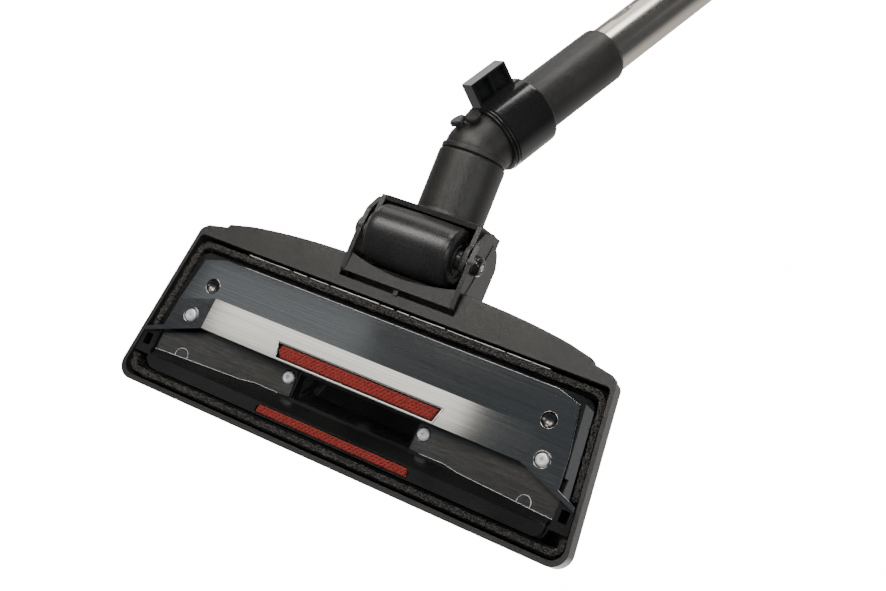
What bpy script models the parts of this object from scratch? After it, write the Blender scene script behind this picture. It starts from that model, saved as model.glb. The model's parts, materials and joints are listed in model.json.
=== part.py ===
"""Floor head, jointed neck and lower wand end of a canister vacuum cleaner.

Units: sizes below are millimetres and become metres when a mesh is built.
Frame: the sole plate's flat face lies in z = 0 and faces down, the head's
front edge faces -Y, the neck leaves towards +Y, and X runs across the head.
"""
import math

import bmesh
import bpy
from mathutils import Matrix, Vector

MM = 0.001
GAP = 0.3

# Head, plan sizes
FRONT_Y = -78.5
RIM_REAR_Y = 28.3
RIM_INNER_FRONT_Y = -75.2
RIM_INNER_REAR_Y = 22.9
REAR_HALF_WIDTH = 143.4
REAR_HALF_WIDTH_Y = 22.0
SIDE_TAPER = 0.116
RIM_WALL = 2.6
RIM_BOTTOM_Z = 1.0
FLANGE_TOP_Z = 12.0
BAY_HALF_WIDTH = 39.6

# Sole
SHEET = 1.2
TRAY_BOTTOM_Z = 1.5
TRAY_TOP_Z = 5.5
RAMP_TOP_Y = -12.4
RAMP_BOTTOM_Y = -32.7
RAMP_DROP = 1.6
RAMP_HALF_WIDTH = 110.0
OUTER_SCREW = (121.1, -27.4)
INNER_SCREW = (47.4, -39.1)
DIMPLE = (115.9, -5.9)
DIMPLE_R = 4.7
CHANNEL_END_X = 137.8
CHANNEL_FRONT_Y = -58.2
CHANNEL_REAR_Y = -31.9
MOUTH_HALF_WIDTH = 41.5
MOUTH_FRONT_Y = -50.0
MOUTH_REAR_Y = -33.8

# Brush
BRUSH_FRAME_LO = 13.2
BRUSH_FRAME_HI = 16.2
BRISTLE_TIP_Z = 2.0
BRISTLE_WIDTH = 3.4

# Pedal
PEDAL_X = -73.0
PEDAL_HALF_WIDTH = 25.5
PEDAL_PIVOT = (-16.0, 33.5)
PEDAL_PIN_R = 1.8

# Knuckle, in the (y, z) plane
TILT_AXIS = (33.0, 18.0)
AXLE = (61.5, 1.6)
AXLE_R = 3.0
HINGE_PIN_R = 2.5
EAR_IN = 36.0
EAR_OUT = 39.0
CHEEK_IN = 31.5
CHEEK_OUT = 34.5
ROLLER_R = 18.9

# Neck, elbow and wand
NECK_DROOP = math.radians(5.6)
ELBOW = Vector((0.0, 134.0, 23.05))
NECK_AXIS = Vector((0.0, math.cos(NECK_DROOP), -math.sin(NECK_DROOP)))
WAND_AXIS = Vector((-0.307, 0.877, 0.370)).normalized()
TAB_SIDE = Vector((0.421, 0.474, -0.773))
NECK_R = 21.6
NECK_BORE_R = 18.5
ELBOW_R = 20.6
ELBOW_BORE_R = 16.0
COLLAR_R = 23.0
SLEEVE_R = 18.4
TUBE_R = 16.0
TUBE_END = 300.0


def clear_scene():
    for ob in list(bpy.data.objects):
        bpy.data.objects.remove(ob, do_unlink=True)


# ---------------------------------------------------------------- builders

def build(name, verts, faces):
    """A closed mesh object from millimetre points."""
    mesh = bpy.data.meshes.new(name)
    mesh.from_pydata([Vector(v) * MM for v in verts], [], faces)
    ob = bpy.data.objects.new(name, mesh)
    bpy.context.scene.collection.objects.link(ob)
    face_outwards(mesh)
    return ob


def face_outwards(mesh):
    bm = bmesh.new()
    bm.from_mesh(mesh)
    bmesh.ops.remove_doubles(bm, verts=bm.verts, dist=2e-6)
    bmesh.ops.recalc_face_normals(bm, faces=bm.faces)
    bm.to_mesh(mesh)
    bm.free()


def combine(target, tool, operation):
    """Apply one exact Boolean and remove the tool."""
    mod = target.modifiers.new(operation, "BOOLEAN")
    mod.operation = operation
    mod.solver = "EXACT"
    mod.object = tool
    graph = bpy.context.evaluated_depsgraph_get()
    mesh = bpy.data.meshes.new_from_object(target.evaluated_get(graph))
    target.modifiers.clear()
    target.data = mesh
    mesh.name = target.name
    face_outwards(mesh)
    bpy.data.objects.remove(tool, do_unlink=True)
    return target


def add(target, *tools):
    for tool in tools:
        combine(target, tool, "UNION")
    return target


def cut(target, *tools):
    for tool in tools:
        combine(target, tool, "DIFFERENCE")
    return target


def rounded(corners, seg=5):
    """Closed outline through (u, v, radius) corners."""
    out = []
    count = len(corners)
    for i, (u, v, radius) in enumerate(corners):
        here = Vector((u, v))
        if radius <= 0:
            out.append((u, v))
            continue
        back = (Vector(corners[i - 1][:2]) - here).normalized()
        ahead = (Vector(corners[(i + 1) % count][:2]) - here).normalized()
        half = math.acos(max(-1.0, min(1.0, back.dot(ahead)))) / 2
        centre = here + (back + ahead).normalized() * (radius / math.sin(half))
        start = here + back * (radius / math.tan(half)) - centre
        end = here + ahead * (radius / math.tan(half)) - centre
        a0 = math.atan2(start.y, start.x)
        turn = (math.atan2(end.y, end.x) - a0 + math.pi) % (2 * math.pi) - math.pi
        for k in range(seg + 1):
            a = a0 + turn * k / seg
            out.append((centre.x + radius * math.cos(a), centre.y + radius * math.sin(a)))
    return out


def mirrored(half):
    """Full (u, v, radius) corner list from its +u half, listed back to front."""
    return list(half) + [(-u, v, r) for u, v, r in reversed(half)]


def prism(name, outline, axis, lo, hi):
    """Extrude a 2-D outline: (y, z) along X, (x, z) along Y or (x, y) along Z."""
    place = {
        "X": lambda u, v, w: (w, u, v),
        "Y": lambda u, v, w: (u, w, v),
        "Z": lambda u, v, w: (u, v, w),
    }[axis]
    n = len(outline)
    verts = [place(p[0], p[1], lo) for p in outline]
    verts += [place(p[0], p[1], hi) for p in outline]
    faces = [tuple(range(n)), tuple(range(n, 2 * n))]
    faces += [(i, (i + 1) % n, n + (i + 1) % n, n + i) for i in range(n)]
    return build(name, verts, faces)


def box(name, lo, hi):
    outline = [(lo[0], lo[1]), (hi[0], lo[1]), (hi[0], hi[1]), (lo[0], hi[1])]
    return prism(name, outline, "Z", lo[2], hi[2])


def loops(name, rings, wrap):
    """Skin a list of equal loops; wrap joins the last loop to the first."""
    n = len(rings[0])
    verts = [p for ring in rings for p in ring]
    last = len(rings) if wrap else len(rings) - 1
    faces = []
    for r in range(last):
        a = r * n
        b = ((r + 1) % len(rings)) * n
        faces += [(a + i, a + (i + 1) % n, b + (i + 1) % n, b + i) for i in range(n)]
    if not wrap:
        faces += [tuple(range(n)), tuple(range((len(rings) - 1) * n, len(rings) * n))]
    return build(name, verts, faces)


def lathe(name, profile, origin, axis, seg=36):
    """Turn a closed (along, radius) profile about an axis; radius 0 is a pole."""
    axis = Vector(axis).normalized()
    side = axis.orthogonal().normalized()
    other = axis.cross(side)
    origin = Vector(origin)
    verts = []
    start = []
    for along, radius in profile:
        start.append(len(verts))
        count = seg if radius > 0 else 1
        for k in range(count):
            a = 2 * math.pi * k / seg
            verts.append(origin + axis * along + (side * math.cos(a) + other * math.sin(a)) * radius)
    faces = []
    n = len(profile)
    for i in range(n):
        j = (i + 1) % n
        a, b = start[i], start[j]
        pole_a, pole_b = profile[i][1] <= 0, profile[j][1] <= 0
        if pole_a and pole_b:
            continue
        for k in range(seg):
            m = (k + 1) % seg
            if pole_a:
                faces.append((a, b + k, b + m))
            elif pole_b:
                faces.append((a + k, b, a + m))
            else:
                faces.append((a + k, b + k, b + m, a + m))
    return build(name, verts, faces)


def rod(name, origin, axis, lo, hi, radius, seg=24):
    return lathe(name, [(lo, 0), (lo, radius), (hi, radius), (hi, 0)], origin, axis, seg)


def pipe(name, origin, axis, lo, hi, outer, inner, seg=36):
    return lathe(name, [(lo, inner), (lo, outer), (hi, outer), (hi, inner)], origin, axis, seg)


def rod_x(name, centre, lo, hi, radius, seg=24):
    return rod(name, (0, centre[0], centre[1]), (1, 0, 0), lo, hi, radius, seg)


def sector(inner, outer, start_deg, end_deg, seg):
    """(y, z) outline of part of a ring about the roller's axle."""
    angles = [math.radians(start_deg + (end_deg - start_deg) * k / seg) for k in range(seg + 1)]
    out = [(AXLE[0] + outer * math.cos(a), AXLE[1] + outer * math.sin(a)) for a in angles]
    out += [(AXLE[0] + inner * math.cos(a), AXLE[1] + inner * math.sin(a)) for a in reversed(angles)]
    return out


def shear(ob, rule):
    """Move every vertex in z by rule(x, y), all in millimetres."""
    for v in ob.data.vertices:
        v.co.z += rule(v.co.x / MM, v.co.y / MM) * MM
    return ob


def star(radius, seg=12):
    """Six-lobed drive recess outline."""
    return [
        (radius * (1.0 if k % 2 else 0.68) * math.cos(2 * math.pi * k / seg),
         radius * (1.0 if k % 2 else 0.68) * math.sin(2 * math.pi * k / seg))
        for k in range(seg)
    ]


def half_width(y):
    """Outer half width of the head at a given y."""
    return REAR_HALF_WIDTH + SIDE_TAPER * (REAR_HALF_WIDTH_Y - y)


def trapezoid(rear_y, front_y, inset, rear_r, front_r):
    """Head-shaped outline, set in from the outer sides."""
    return rounded(mirrored([
        (half_width(rear_y) - inset, rear_y, rear_r),
        (half_width(front_y) - inset, front_y, front_r),
    ]))


def ramp_z(x, y):
    """Height of the sole plate's underside."""
    if y >= RAMP_TOP_Y:
        return 0.0
    return -RAMP_DROP * (RAMP_TOP_Y - y) / (RAMP_TOP_Y - RAMP_BOTTOM_Y)


def channel_z(x):
    """Height of the channel plates' underside: deeper towards the mouth."""
    return 12.4 - 0.085 * (max(abs(x), 42.0) - 42.0)


# -------------------------------------------------------------------- head

def upper_housing():
    outer = trapezoid(RIM_REAR_Y, FRONT_Y, 0.0, 5.0, 10.0)
    inner = trapezoid(RIM_INNER_REAR_Y, RIM_INNER_FRONT_Y, RIM_WALL, 3.0, 8.0)
    crown_x, crown_front, crown_rear = 100.0, -30.0, 2.0

    def level(outline, z, pull):
        ring = []
        for x, y in outline:
            cx = max(-crown_x, min(crown_x, x))
            cy = max(crown_front, min(crown_rear, y))
            ring.append((x + (cx - x) * pull, y + (cy - y) * pull, z))
        return ring

    pulls = [0.035, 0.10, 0.20, 0.34, 0.52, 0.72, 0.90]
    outside = [(RIM_BOTTOM_Z, 0.0), (16.0, 0.0)] + list(zip([19.5, 23, 27, 31, 35, 38.3, 40], pulls))
    inside = [(RIM_BOTTOM_Z, 0.0), (16.8, 0.0)] + list(
        zip([18.3, 21.0, 24.8, 28.7, 32.6, 35.8, 37.5], pulls))
    shell = loops("upper_housing", [level(outer, z, f) for z, f in outside], False)
    cut(shell, loops("cavity", [level(inner, RIM_BOTTOM_Z - 2, 0.0)]
                     + [level(inner, z, f) for z, f in inside[1:]], False))

    arc = [(45.0, 43.6), (76.0, 42.3), (105.0, 38.6), (123.6, 35.2), (124.9, 30.4), (124.9, 26.0)]
    flange = [(0.0, 44.0)] + arc + [(-x, y) for x, y in reversed(arc)]
    add(shell, prism("flange", flange, "Z", RIM_BOTTOM_Z, FLANGE_TOP_Z))

    hump = rounded([(-41, 22, 0), (-38, 38.6, 7), (38, 38.6, 7), (41, 22, 0)], 4)
    add(shell, prism("hump", hump, "Y", -27.0, 21.2))
    hollow = rounded([(-37, 20.4, 0), (-34.6, 36.1, 5), (34.6, 36.1, 5), (37, 20.4, 0)], 4)
    cut(shell, prism("hump_hollow", hollow, "Y", -28.5, 24.0))

    for side in (-1, 1):
        block = rounded([(26.5, 6, 0), (26.5, 22.5, 3), (40.0, 22.5, 5), (40.0, 6, 0)], 3)
        lo, hi = sorted((side * BAY_HALF_WIDTH, side * 47.5))
        add(shell, prism("bearing", block, "X", lo, hi))
    cut(shell,
        box("bay_low", (-BAY_HALF_WIDTH, 31.5, -5), (BAY_HALF_WIDTH, 60, 60)),
        box("bay_mid", (-BAY_HALF_WIDTH, 25.6, 3.8), (BAY_HALF_WIDTH, 60, 60)),
        box("bay_high", (-BAY_HALF_WIDTH, 21.4, 21.0), (BAY_HALF_WIDTH, 60, 60)))
    for side in (-1, 1):
        lo, hi = sorted((side * 38.0, side * 46.0))
        cut(shell, rod_x("pin_seat", TILT_AXIS, lo, hi, HINGE_PIN_R + GAP))

    for x, y, low, high in ((*OUTER_SCREW, 13.4, 34.6), (*INNER_SCREW, 21.4, 37.6)):
        for side in (-1, 1):
            add(shell, rod("boss", (side * x, y, 0), (0, 0, 1), low, high, 4.4, 18))
            cut(shell, rod("hole", (side * x, y, 0), (0, 0, 1), low - 2, high - 5, 2.1, 16))

    x0, x1 = PEDAL_X - PEDAL_HALF_WIDTH - 1.2, PEDAL_X + PEDAL_HALF_WIDTH + 1.2
    lug = [(-21, 38.4), (-11, 38.4), (-12.5, 30.5), (-19.5, 30.5)]
    for lo, hi in ((x0 - 3.4, x0 - 0.2), (x1 + 0.2, x1 + 3.4)):
        add(shell, prism("lug", lug, "X", lo, hi))
    cut(shell, box("pedal_opening", (x0, -31.4, 30), (x1, -0.6, 50)))
    cut(shell, rod_x("pedal_seat", PEDAL_PIVOT, x0 - 2.6, x1 + 2.6, PEDAL_PIN_R + GAP))
    return shell


def tray_ring(z, rear, inset, radius):
    """Tray outline at one height; only the rear and sides are set in."""
    half = [
        (half_width(rear) - inset, rear, radius),
        (half_width(-44.4) - inset, -44.4, 0.0),
        (147.9, -44.4, 0.8),
        (149.6, -60.0, 0.8),
        (138.6, -60.0, 0.8),
        (137.6, -66.6, 5.0),
    ]
    return [(x, y, z) for x, y in rounded(mirrored(half), 4)]


def base_tray():
    tray = loops("base_tray", [
        tray_ring(TRAY_BOTTOM_Z, 13.2, 13.4, 4.0),
        tray_ring(TRAY_TOP_Z - 1.2, 13.6, 8.6, 7.0),
        tray_ring(TRAY_TOP_Z, 13.6, 8.6, 7.0),
    ], False)
    end = CHANNEL_END_X + 2.2
    top = [(-end, 4.0), (-end, channel_z(end) + 3.6), (-42, 16.0), (42, 16.0),
           (end, channel_z(end) + 3.6), (end, 4.0)]
    add(tray, prism("channel_block", top, "Y", CHANNEL_FRONT_Y - 2.4, CHANNEL_REAR_Y + 2.4))
    for side in (-1, 1):
        add(tray,
            rod("boss", (side * OUTER_SCREW[0], OUTER_SCREW[1], 0), (0, 0, 1), 4.5, 13, 4.6, 20),
            rod("boss", (side * INNER_SCREW[0], INNER_SCREW[1], 0), (0, 0, 1), 14.5, 21, 3.4, 20))
    end = CHANNEL_END_X + 0.4
    groove = [(-end, -2), (-end, channel_z(end) + 1.3), (-42, 13.7), (42, 13.7),
              (end, channel_z(end) + 1.3), (end, -2)]
    cut(tray,
        prism("channel", groove, "Y", CHANNEL_FRONT_Y, CHANNEL_REAR_Y),
        box("bar_seat", (-137.3, -70, -1), (137.3, -57.6, 4.0)),
        box("mouth", (-MOUTH_HALF_WIDTH, MOUTH_FRONT_Y, 5), (MOUTH_HALF_WIDTH, MOUTH_REAR_Y, 20)))
    for side in (-1, 1):
        lo, hi = sorted((side * 141.2, side * 146.2))
        cut(tray,
            box("edge_window", (lo, -54.6, -1), (hi, -47.4, 9)),
            rod("hole", (side * OUTER_SCREW[0], OUTER_SCREW[1], 0), (0, 0, 1), 0, 14, 2.1, 16),
            rod("hole", (side * INNER_SCREW[0], INNER_SCREW[1], 0), (0, 0, 1), 10, 22, 2.1, 16),
            rod("dent", (side * DIMPLE[0], DIMPLE[1], 0), (0, 0, 1), 0, 4.2, DIMPLE_R + 0.8, 20))
    add(tray, rod("leaf_boss", (PEDAL_X, -2.0, 0), (0, 0, 1), TRAY_BOTTOM_Z, TRAY_TOP_Z, 4.0, 18))
    cut(tray, rod("leaf_hole", (PEDAL_X, -2.0, 0), (0, 0, 1), 3.0, 9.0, 1.6, 16))
    return tray


def air_duct():
    """Duct from the mouth up and back to the knuckle."""
    stations = [
        ((-42.0, 16.3), 0, 43.3, 10.6),
        ((-41.3, 20.0), 12, 42.4, 10.3),
        ((-37.5, 25.4), 48, 38.0, 8.6),
        ((-27.0, 28.4), 85, 33.4, 7.2),
        ((-10.0, 28.5), 90, 32.0, 7.0),
        ((20.9, 28.5), 90, 31.0, 6.9),
    ]

    def ring(centre, turn, half_x, half_h):
        a = math.radians(turn)
        up = (-math.cos(a), math.sin(a))
        shape = rounded([(-half_x, -half_h, 4), (half_x, -half_h, 4),
                         (half_x, half_h, 4), (-half_x, half_h, 4)], 3)
        return [(x, centre[0] + up[0] * h, centre[1] + up[1] * h) for x, h in shape]

    outside = [ring(c, t, w, h) for c, t, w, h in stations]
    inside = [ring(c, t, w - 1.5, h - 1.5) for c, t, w, h in stations]
    return loops("air_duct", outside + inside[::-1], True)


def sole_plate():
    """Bent steel sole: flat rear field, front ramp and two side wings."""
    half = [
        (0.0, 12.2, 0.0), (114.4, 12.2, 0.0), (128.9, 8.1, 0.0), (134.3, -20.5, 0.0),
        (RAMP_HALF_WIDTH, RAMP_TOP_Y, 0.0), (0.0, RAMP_TOP_Y, 0.0),
        (RAMP_HALF_WIDTH, RAMP_BOTTOM_Y, -RAMP_DROP), (0.0, RAMP_BOTTOM_Y, -RAMP_DROP),
        (136.0, -39.3, -0.9), (147.4, -43.9, -0.4), (148.0, -47.0, -0.4),
    ]
    tiles = [(0, 1, 4, 5), (1, 2, 3), (1, 3, 4), (5, 4, 6, 7), (4, 3, 8), (4, 8, 6), (6, 8, 10), (8, 9, 10)]
    count = len(half)
    verts = [(s * x, y, z + dz) for dz in (0.0, SHEET) for s in (1, -1) for x, y, z in half]
    faces = []
    edges = {}
    for s in (0, 1):
        for tile in tiles:
            low = [s * count + i for i in tile]
            if s:
                low.reverse()
            faces.append(tuple(low))
            faces.append(tuple(reversed([i + 2 * count for i in low])))
            for a, b in zip(low, low[1:] + low[:1]):
                edges[(a, b)] = True
    for a, b in edges:
        centre_edge = verts[a][0] == 0 and verts[b][0] == 0
        if (b, a) not in edges and not centre_edge:
            faces.append((b, a, a + 2 * count, b + 2 * count))
    plate = build("sole_plate", verts, faces)
    for side in (-1, 1):
        x, y = side * DIMPLE[0], DIMPLE[1]
        cap = [(0.0, 5.6), (SHEET, 5.6), (2.4, 3.6), (3.4, 0), (2.4, 0), (1.5, 3.0), (0.0, DIMPLE_R)]
        cut(plate, rod("dent", (x, y, 0), (0, 0, 1), -3, 4, DIMPLE_R + 0.4, 24))
        add(plate, lathe("dimple", cap, (x, y, 0), (0, 0, 1), 24))
        cut(plate, rod("hole", (side * OUTER_SCREW[0], OUTER_SCREW[1], 0), (0, 0, 1), -4, 4, 4.3, 24))
    pocket = [(-56.2, -22.6), (56.2, -22.6), (53.9, -31.5), (-53.9, -31.5)]
    return cut(plate, prism("pocket", pocket, "Z", -4, 4))


def thread_lifter_rear():
    outline = [(-55.5, -22.9), (55.5, -22.9), (53.4, -31.2), (-53.4, -31.2)]
    lifter = prism("thread_lifter_rear", outline, "Z", -0.9, 1.1)
    for v in lifter.data.vertices:
        if v.co.z < 0:
            v.co.z += ramp_z(0, v.co.y / MM) * MM
    return lifter


def plate_front_y(x):
    """Front edge of the channel plates."""
    return -51.6 - 3.0 * max(abs(x) - 76.0, 0.0) / 61.8


def front_bar():
    """Glossy bar across the front whose rear lip slopes up to the channel plates."""
    outline = rounded(mirrored([(136.8, -59.4, 0.6), (136.4, -66.9, 6.0)]), 4)
    bar = prism("front_bar", outline, "Z", 0.0, 3.7)
    rings = []
    for x in (-136.2, -76.0, 76.0, 136.2):
        y, z = plate_front_y(x) - 0.4, channel_z(max(abs(x), 76.0)) - 0.2
        rings.append([(x, -60.4, 0.0), (x, -59.4, 0.0), (x, y, z), (x, y - 1.0, z + 0.9),
                      (x, -58.4, 2.7), (x, -60.4, 2.7)])
    add(bar, loops("lip", rings, False))
    pocket = [(-50.8, -60.0), (50.8, -60.0), (52.9, -62.5), (52.9, -66.2), (-52.9, -66.2), (-52.9, -62.5)]
    return cut(bar, prism("pocket", pocket, "Z", -2, 2.4))


def thread_lifter_front():
    outline = [(-50.5, -60.3), (50.5, -60.3), (52.6, -62.7), (52.6, -65.9), (-52.6, -65.9), (-52.6, -62.7)]
    return prism("thread_lifter_front", outline, "Z", -0.8, 2.1)


def channel_plate(name, side):
    half = [(42.4, MOUTH_FRONT_Y + 0.2), (43.4, CHANNEL_REAR_Y - 0.4), (CHANNEL_END_X, CHANNEL_REAR_Y - 0.4),
            (CHANNEL_END_X, plate_front_y(CHANNEL_END_X)), (76.0, plate_front_y(76.0)), (66.0, -50.0),
            (50.0, -50.2)]
    plate = prism(name, [(side * x, y) for x, y in half], "Z", 0.0, 1.0)
    shear(plate, lambda x, y: channel_z(x))
    return cut(plate, rod("hole", (side * INNER_SCREW[0], INNER_SCREW[1], 0), (0, 0, 1), 5, 20, 4.5, 24))


def sole_screw(name, x, y, head_z, tip_z):
    """Pan-head screw pointing up; head_z is the head's lowest level."""
    profile = [(0, 0), (0, 2.6), (0.5, 3.6), (1.2, 3.9), (2.4, 3.9), (2.4, 1.7),
               (tip_z - head_z - 1, 1.7), (tip_z - head_z, 0)]
    screw = lathe(name, profile, (x, y, head_z), (0, 0, 1), 18)
    drive = prism("drive", [(x + u, y + v) for u, v in star(2.0)], "Z", head_z - 1, head_z + 1.3)
    return cut(screw, drive)


# ------------------------------------------------------------------- brush

def brush_frame():
    outer = trapezoid(21.9, -74.2, 3.6, 4.0, 7.0)
    inner = trapezoid(14.9, -67.6, 7.7, 4.0, 4.0)
    rings = [[(x, y, z) for x, y in outline] for outline, z in (
        (outer, BRUSH_FRAME_LO), (outer, BRUSH_FRAME_HI), (inner, BRUSH_FRAME_HI), (inner, BRUSH_FRAME_LO))]
    frame = loops("brush_frame", rings, True)
    return add(frame, box("tab", (PEDAL_X - 15, 2.5, BRUSH_FRAME_LO), (PEDAL_X + 15, 15.6, BRUSH_FRAME_HI)))


def ribbon(name, path, width, lo, hi):
    """Upright strip along an open plan path."""
    left, right = [], []
    for i, p in enumerate(path):
        a = Vector(path[max(i - 1, 0)])
        b = Vector(path[min(i + 1, len(path) - 1)])
        d = (b - a).normalized() * (width / 2)
        left.append((p[0] - d.y, p[1] + d.x))
        right.append((p[0] + d.y, p[1] - d.x))
    return prism(name, left + right[::-1], "Z", lo, hi)


def bristles(name, rear):
    if rear:
        half = [(half_width(-41.4) - 5.6, -41.4, 0), (half_width(18.4) - 5.6, 18.4, 7.0)]
    else:
        half = [(half_width(-61.5) - 5.6, -61.5, 0), (half_width(-70.9) - 5.6, -70.9, 5.5)]
    path = rounded(list(half) + [(-x, y, r) for x, y, r in reversed(half)], 5)
    return ribbon(name, path, BRISTLE_WIDTH, BRISTLE_TIP_Z, BRUSH_FRAME_LO - GAP / 3)


# ------------------------------------------------------------------- pedal

def pedal():
    x0, x1 = PEDAL_X - PEDAL_HALF_WIDTH, PEDAL_X + PEDAL_HALF_WIDTH
    side = rounded([(-30.4, 37.6, 1), (-30.4, 41.6, 2), (-16.0, 40.6, 0), (-1.6, 41.6, 2), (-1.6, 37.6, 1)], 3)
    plate = prism("pedal", side, "X", x0, x1)
    arm = [(-21.5, 38.2), (-10.5, 38.2), (-11.0, 31.5), (12.2, 18.6), (12.2, 16.6), (7.6, 16.6),
           (-15.0, 29.2), (-20.5, 30.6)]
    for lo in (PEDAL_X - 13, PEDAL_X + 10):
        add(plate, prism("arm", arm, "X", lo, lo + 3))
    cam = [(-21.5, 38.2), (-10.5, 38.2), (-12.6, 31.5), (-15.2, 28.6), (-18.0, 28.6), (-20.0, 31.5)]
    add(plate, prism("cam", cam, "X", PEDAL_X - 6, PEDAL_X + 6))
    return cut(plate, rod_x("bore", PEDAL_PIVOT, x0 - 5, x1 + 5, PEDAL_PIN_R + GAP))


def detent_leaf():
    """Bent spring strip whose crest holds the pedal's cam in either position."""
    line = [(1.6, 6.2), (-5.4, 6.2), (-7.2, 7.4), (-11.4, 27.2), (-12.9, 29.2), (-11.4, 31.0)]
    outline = [(y, z - 0.35) for y, z in line[:2]] + [(y - 0.4, z) for y, z in line[2:]]
    outline += [(y + 0.3, z + 0.1) for y, z in reversed(line[2:])] + [(y, z + 0.35) for y, z in reversed(line[:2])]
    leaf = prism("detent_leaf", outline, "X", PEDAL_X - 7, PEDAL_X + 7)
    return cut(leaf, rod("hole", (PEDAL_X, -2.0, 0), (0, 0, 1), 0, 12, 1.8, 16))


def leaf_screw():
    profile = [(4.0, 0), (4.0, 1.3), (6.9, 1.3), (6.9, 3.0), (7.8, 2.6), (8.4, 1.4), (8.4, 0)]
    return lathe("leaf_screw", profile, (PEDAL_X, -2.0, 0), (0, 0, 1), 18)


# ----------------------------------------------------------------- knuckle

def yoke():
    ear = rounded([
        (32.0, -2.0, 1.5), (44.0, -3.4, 0), (62.0, -4.4, 0), (75.0, -3.2, 5), (84.5, 3.0, 4), (84.5, 14.0, 3),
        (80.0, 18.6, 1), (77.5, 26.5, 4), (70.0, 34.0, 6), (44.0, 35.0, 0), (32.0, 32.0, 6), (26.6, 19.0, 4),
        (27.4, 8.6, 2), (32.0, 4.6, 0),
    ], 3)
    bar = [(-36.5, 32.4), (36.5, 32.4), (36.5, 44.0), (29.0, 42.0), (17.0, 39.6), (0.0, 38.8),
           (-17.0, 39.6), (-29.0, 42.0), (-36.5, 44.0)]
    frame = prism("yoke", bar, "Z", -2.0, 1.4)
    panel = [(34.4, 0.5), (37.6, 0.5), (38.6, 8.0), (42.6, 10.2), (43.4, 13.5), (38.0, 12.4)]
    add(frame,
        prism("panel", panel, "X", -36.4, 36.4),
        prism("shelf", [(26.2, 11.5), (38.6, 11.0), (38.6, 12.6), (26.2, 13.0)], "X", -36.3, 36.3),
        prism("guard_front", sector(19.9, 21.3, 127, 172, 5), "X", -36.3, 36.3),
        prism("guard_top", sector(19.9, 21.3, 72, 128, 6), "X", -31.2, 31.2))
    for side in (-1, 1):
        lo, hi = sorted((side * EAR_IN, side * EAR_OUT))
        add(frame, prism("ear", ear, "X", lo, hi))
        add(frame, rod_x("boss", AXLE, min(lo, side * 40.2), max(hi, side * 40.2), 6.2, 28))
    return cut(frame,
               rod_x("axle_bore", AXLE, -50, 50, AXLE_R + GAP, 28),
               rod_x("pin_bore_left", TILT_AXIS, 34, 41, HINGE_PIN_R + GAP),
               rod_x("pin_bore_right", TILT_AXIS, -41, -34, HINGE_PIN_R + GAP))


def axle():
    profile = [(-42.3, 0), (-42.3, 4.4), (-40.5, 4.4), (-40.5, AXLE_R), (41.2, AXLE_R), (41.2, 0)]
    pin = lathe("axle", profile, (0, AXLE[0], AXLE[1]), (1, 0, 0), 28)
    return cut(pin, rod_x("tapping", AXLE, -45, -34, 1.6, 16))


def axle_screw():
    profile = [(-44.5, 0), (-44.5, 1.8), (-44.0, 2.7), (-42.6, 2.9), (-42.6, 1.3), (-35.5, 1.3), (-34.6, 0)]
    screw = lathe("axle_screw", profile, (0, AXLE[0], AXLE[1]), (1, 0, 0), 24)
    drive = prism("drive", [(AXLE[0] + u, AXLE[1] + v) for u, v in star(1.5)], "X", -45, -43.4)
    return cut(screw, drive)


def axle_cap():
    profile = [(40.5, 3.3), (40.5, 5.2), (42.4, 5.2), (43.2, 4.2), (43.2, 0), (41.6, 0), (41.6, 3.3)]
    return lathe("axle_cap", profile, (0, AXLE[0], AXLE[1]), (1, 0, 0), 28)


def roller():
    half = [(30.6, 5.9), (28.2, 6.2), (28.2, 14.2), (25.6, 17.4), (13.0, 18.5)]
    profile = [(-x, r) for x, r in half] + [(0.0, ROLLER_R)] + half[::-1]
    profile += [(30.6, AXLE_R + GAP), (-30.6, AXLE_R + GAP)]
    return lathe("roller", profile, (0, AXLE[0], AXLE[1]), (1, 0, 0))


def flex_hose():
    """Ribbed sleeve from the head's duct over the roller into the neck."""
    path = [((21.6, 28.5), 90, 29.0, 5.9), ((38.0, 30.8), 88, 27.0, 6.6), ((61.5, 33.0), 94, 23.0, 6.2),
            ((72.0, 32.1), 97, 19.5, 6.9), ((79.0, 30.6), 96, 17.8, 10.2), ((83.0, 28.2), 96, 16.4, 13.2)]
    ribs = 16
    seg = 20

    def station(s):
        t = s * (len(path) - 1)
        i = min(int(t), len(path) - 2)
        f = t - i
        (a, ta, wa, ha), (b, tb, wb, hb) = path[i], path[i + 1]
        mix = [p + (q - p) * f for p, q in zip((a[0], a[1], ta, wa, ha), (b[0], b[1], tb, wb, hb))]
        return mix

    def ring(s, swell):
        y, z, turn, half_x, half_h = station(s)
        a = math.radians(turn)
        up = (-math.cos(a), math.sin(a))
        out = []
        for k in range(seg):
            c, d = math.cos(2 * math.pi * k / seg), math.sin(2 * math.pi * k / seg)
            x = math.copysign(abs(c) ** 0.75, c) * (half_x + swell)
            h = math.copysign(abs(d) ** 0.75, d) * (half_h + swell)
            out.append((x, y + up[0] * h, z + up[1] * h))
        return out

    outside = [ring(k / ribs, 0.9 if k % 2 else 0.0) for k in range(ribs + 1)]
    inside = [ring(k / ribs, -0.1 if k % 2 else -1.0) for k in range(ribs + 1)]
    return loops("flex_hose", outside + inside[::-1], True)


# -------------------------------------------------------------------- neck

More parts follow.
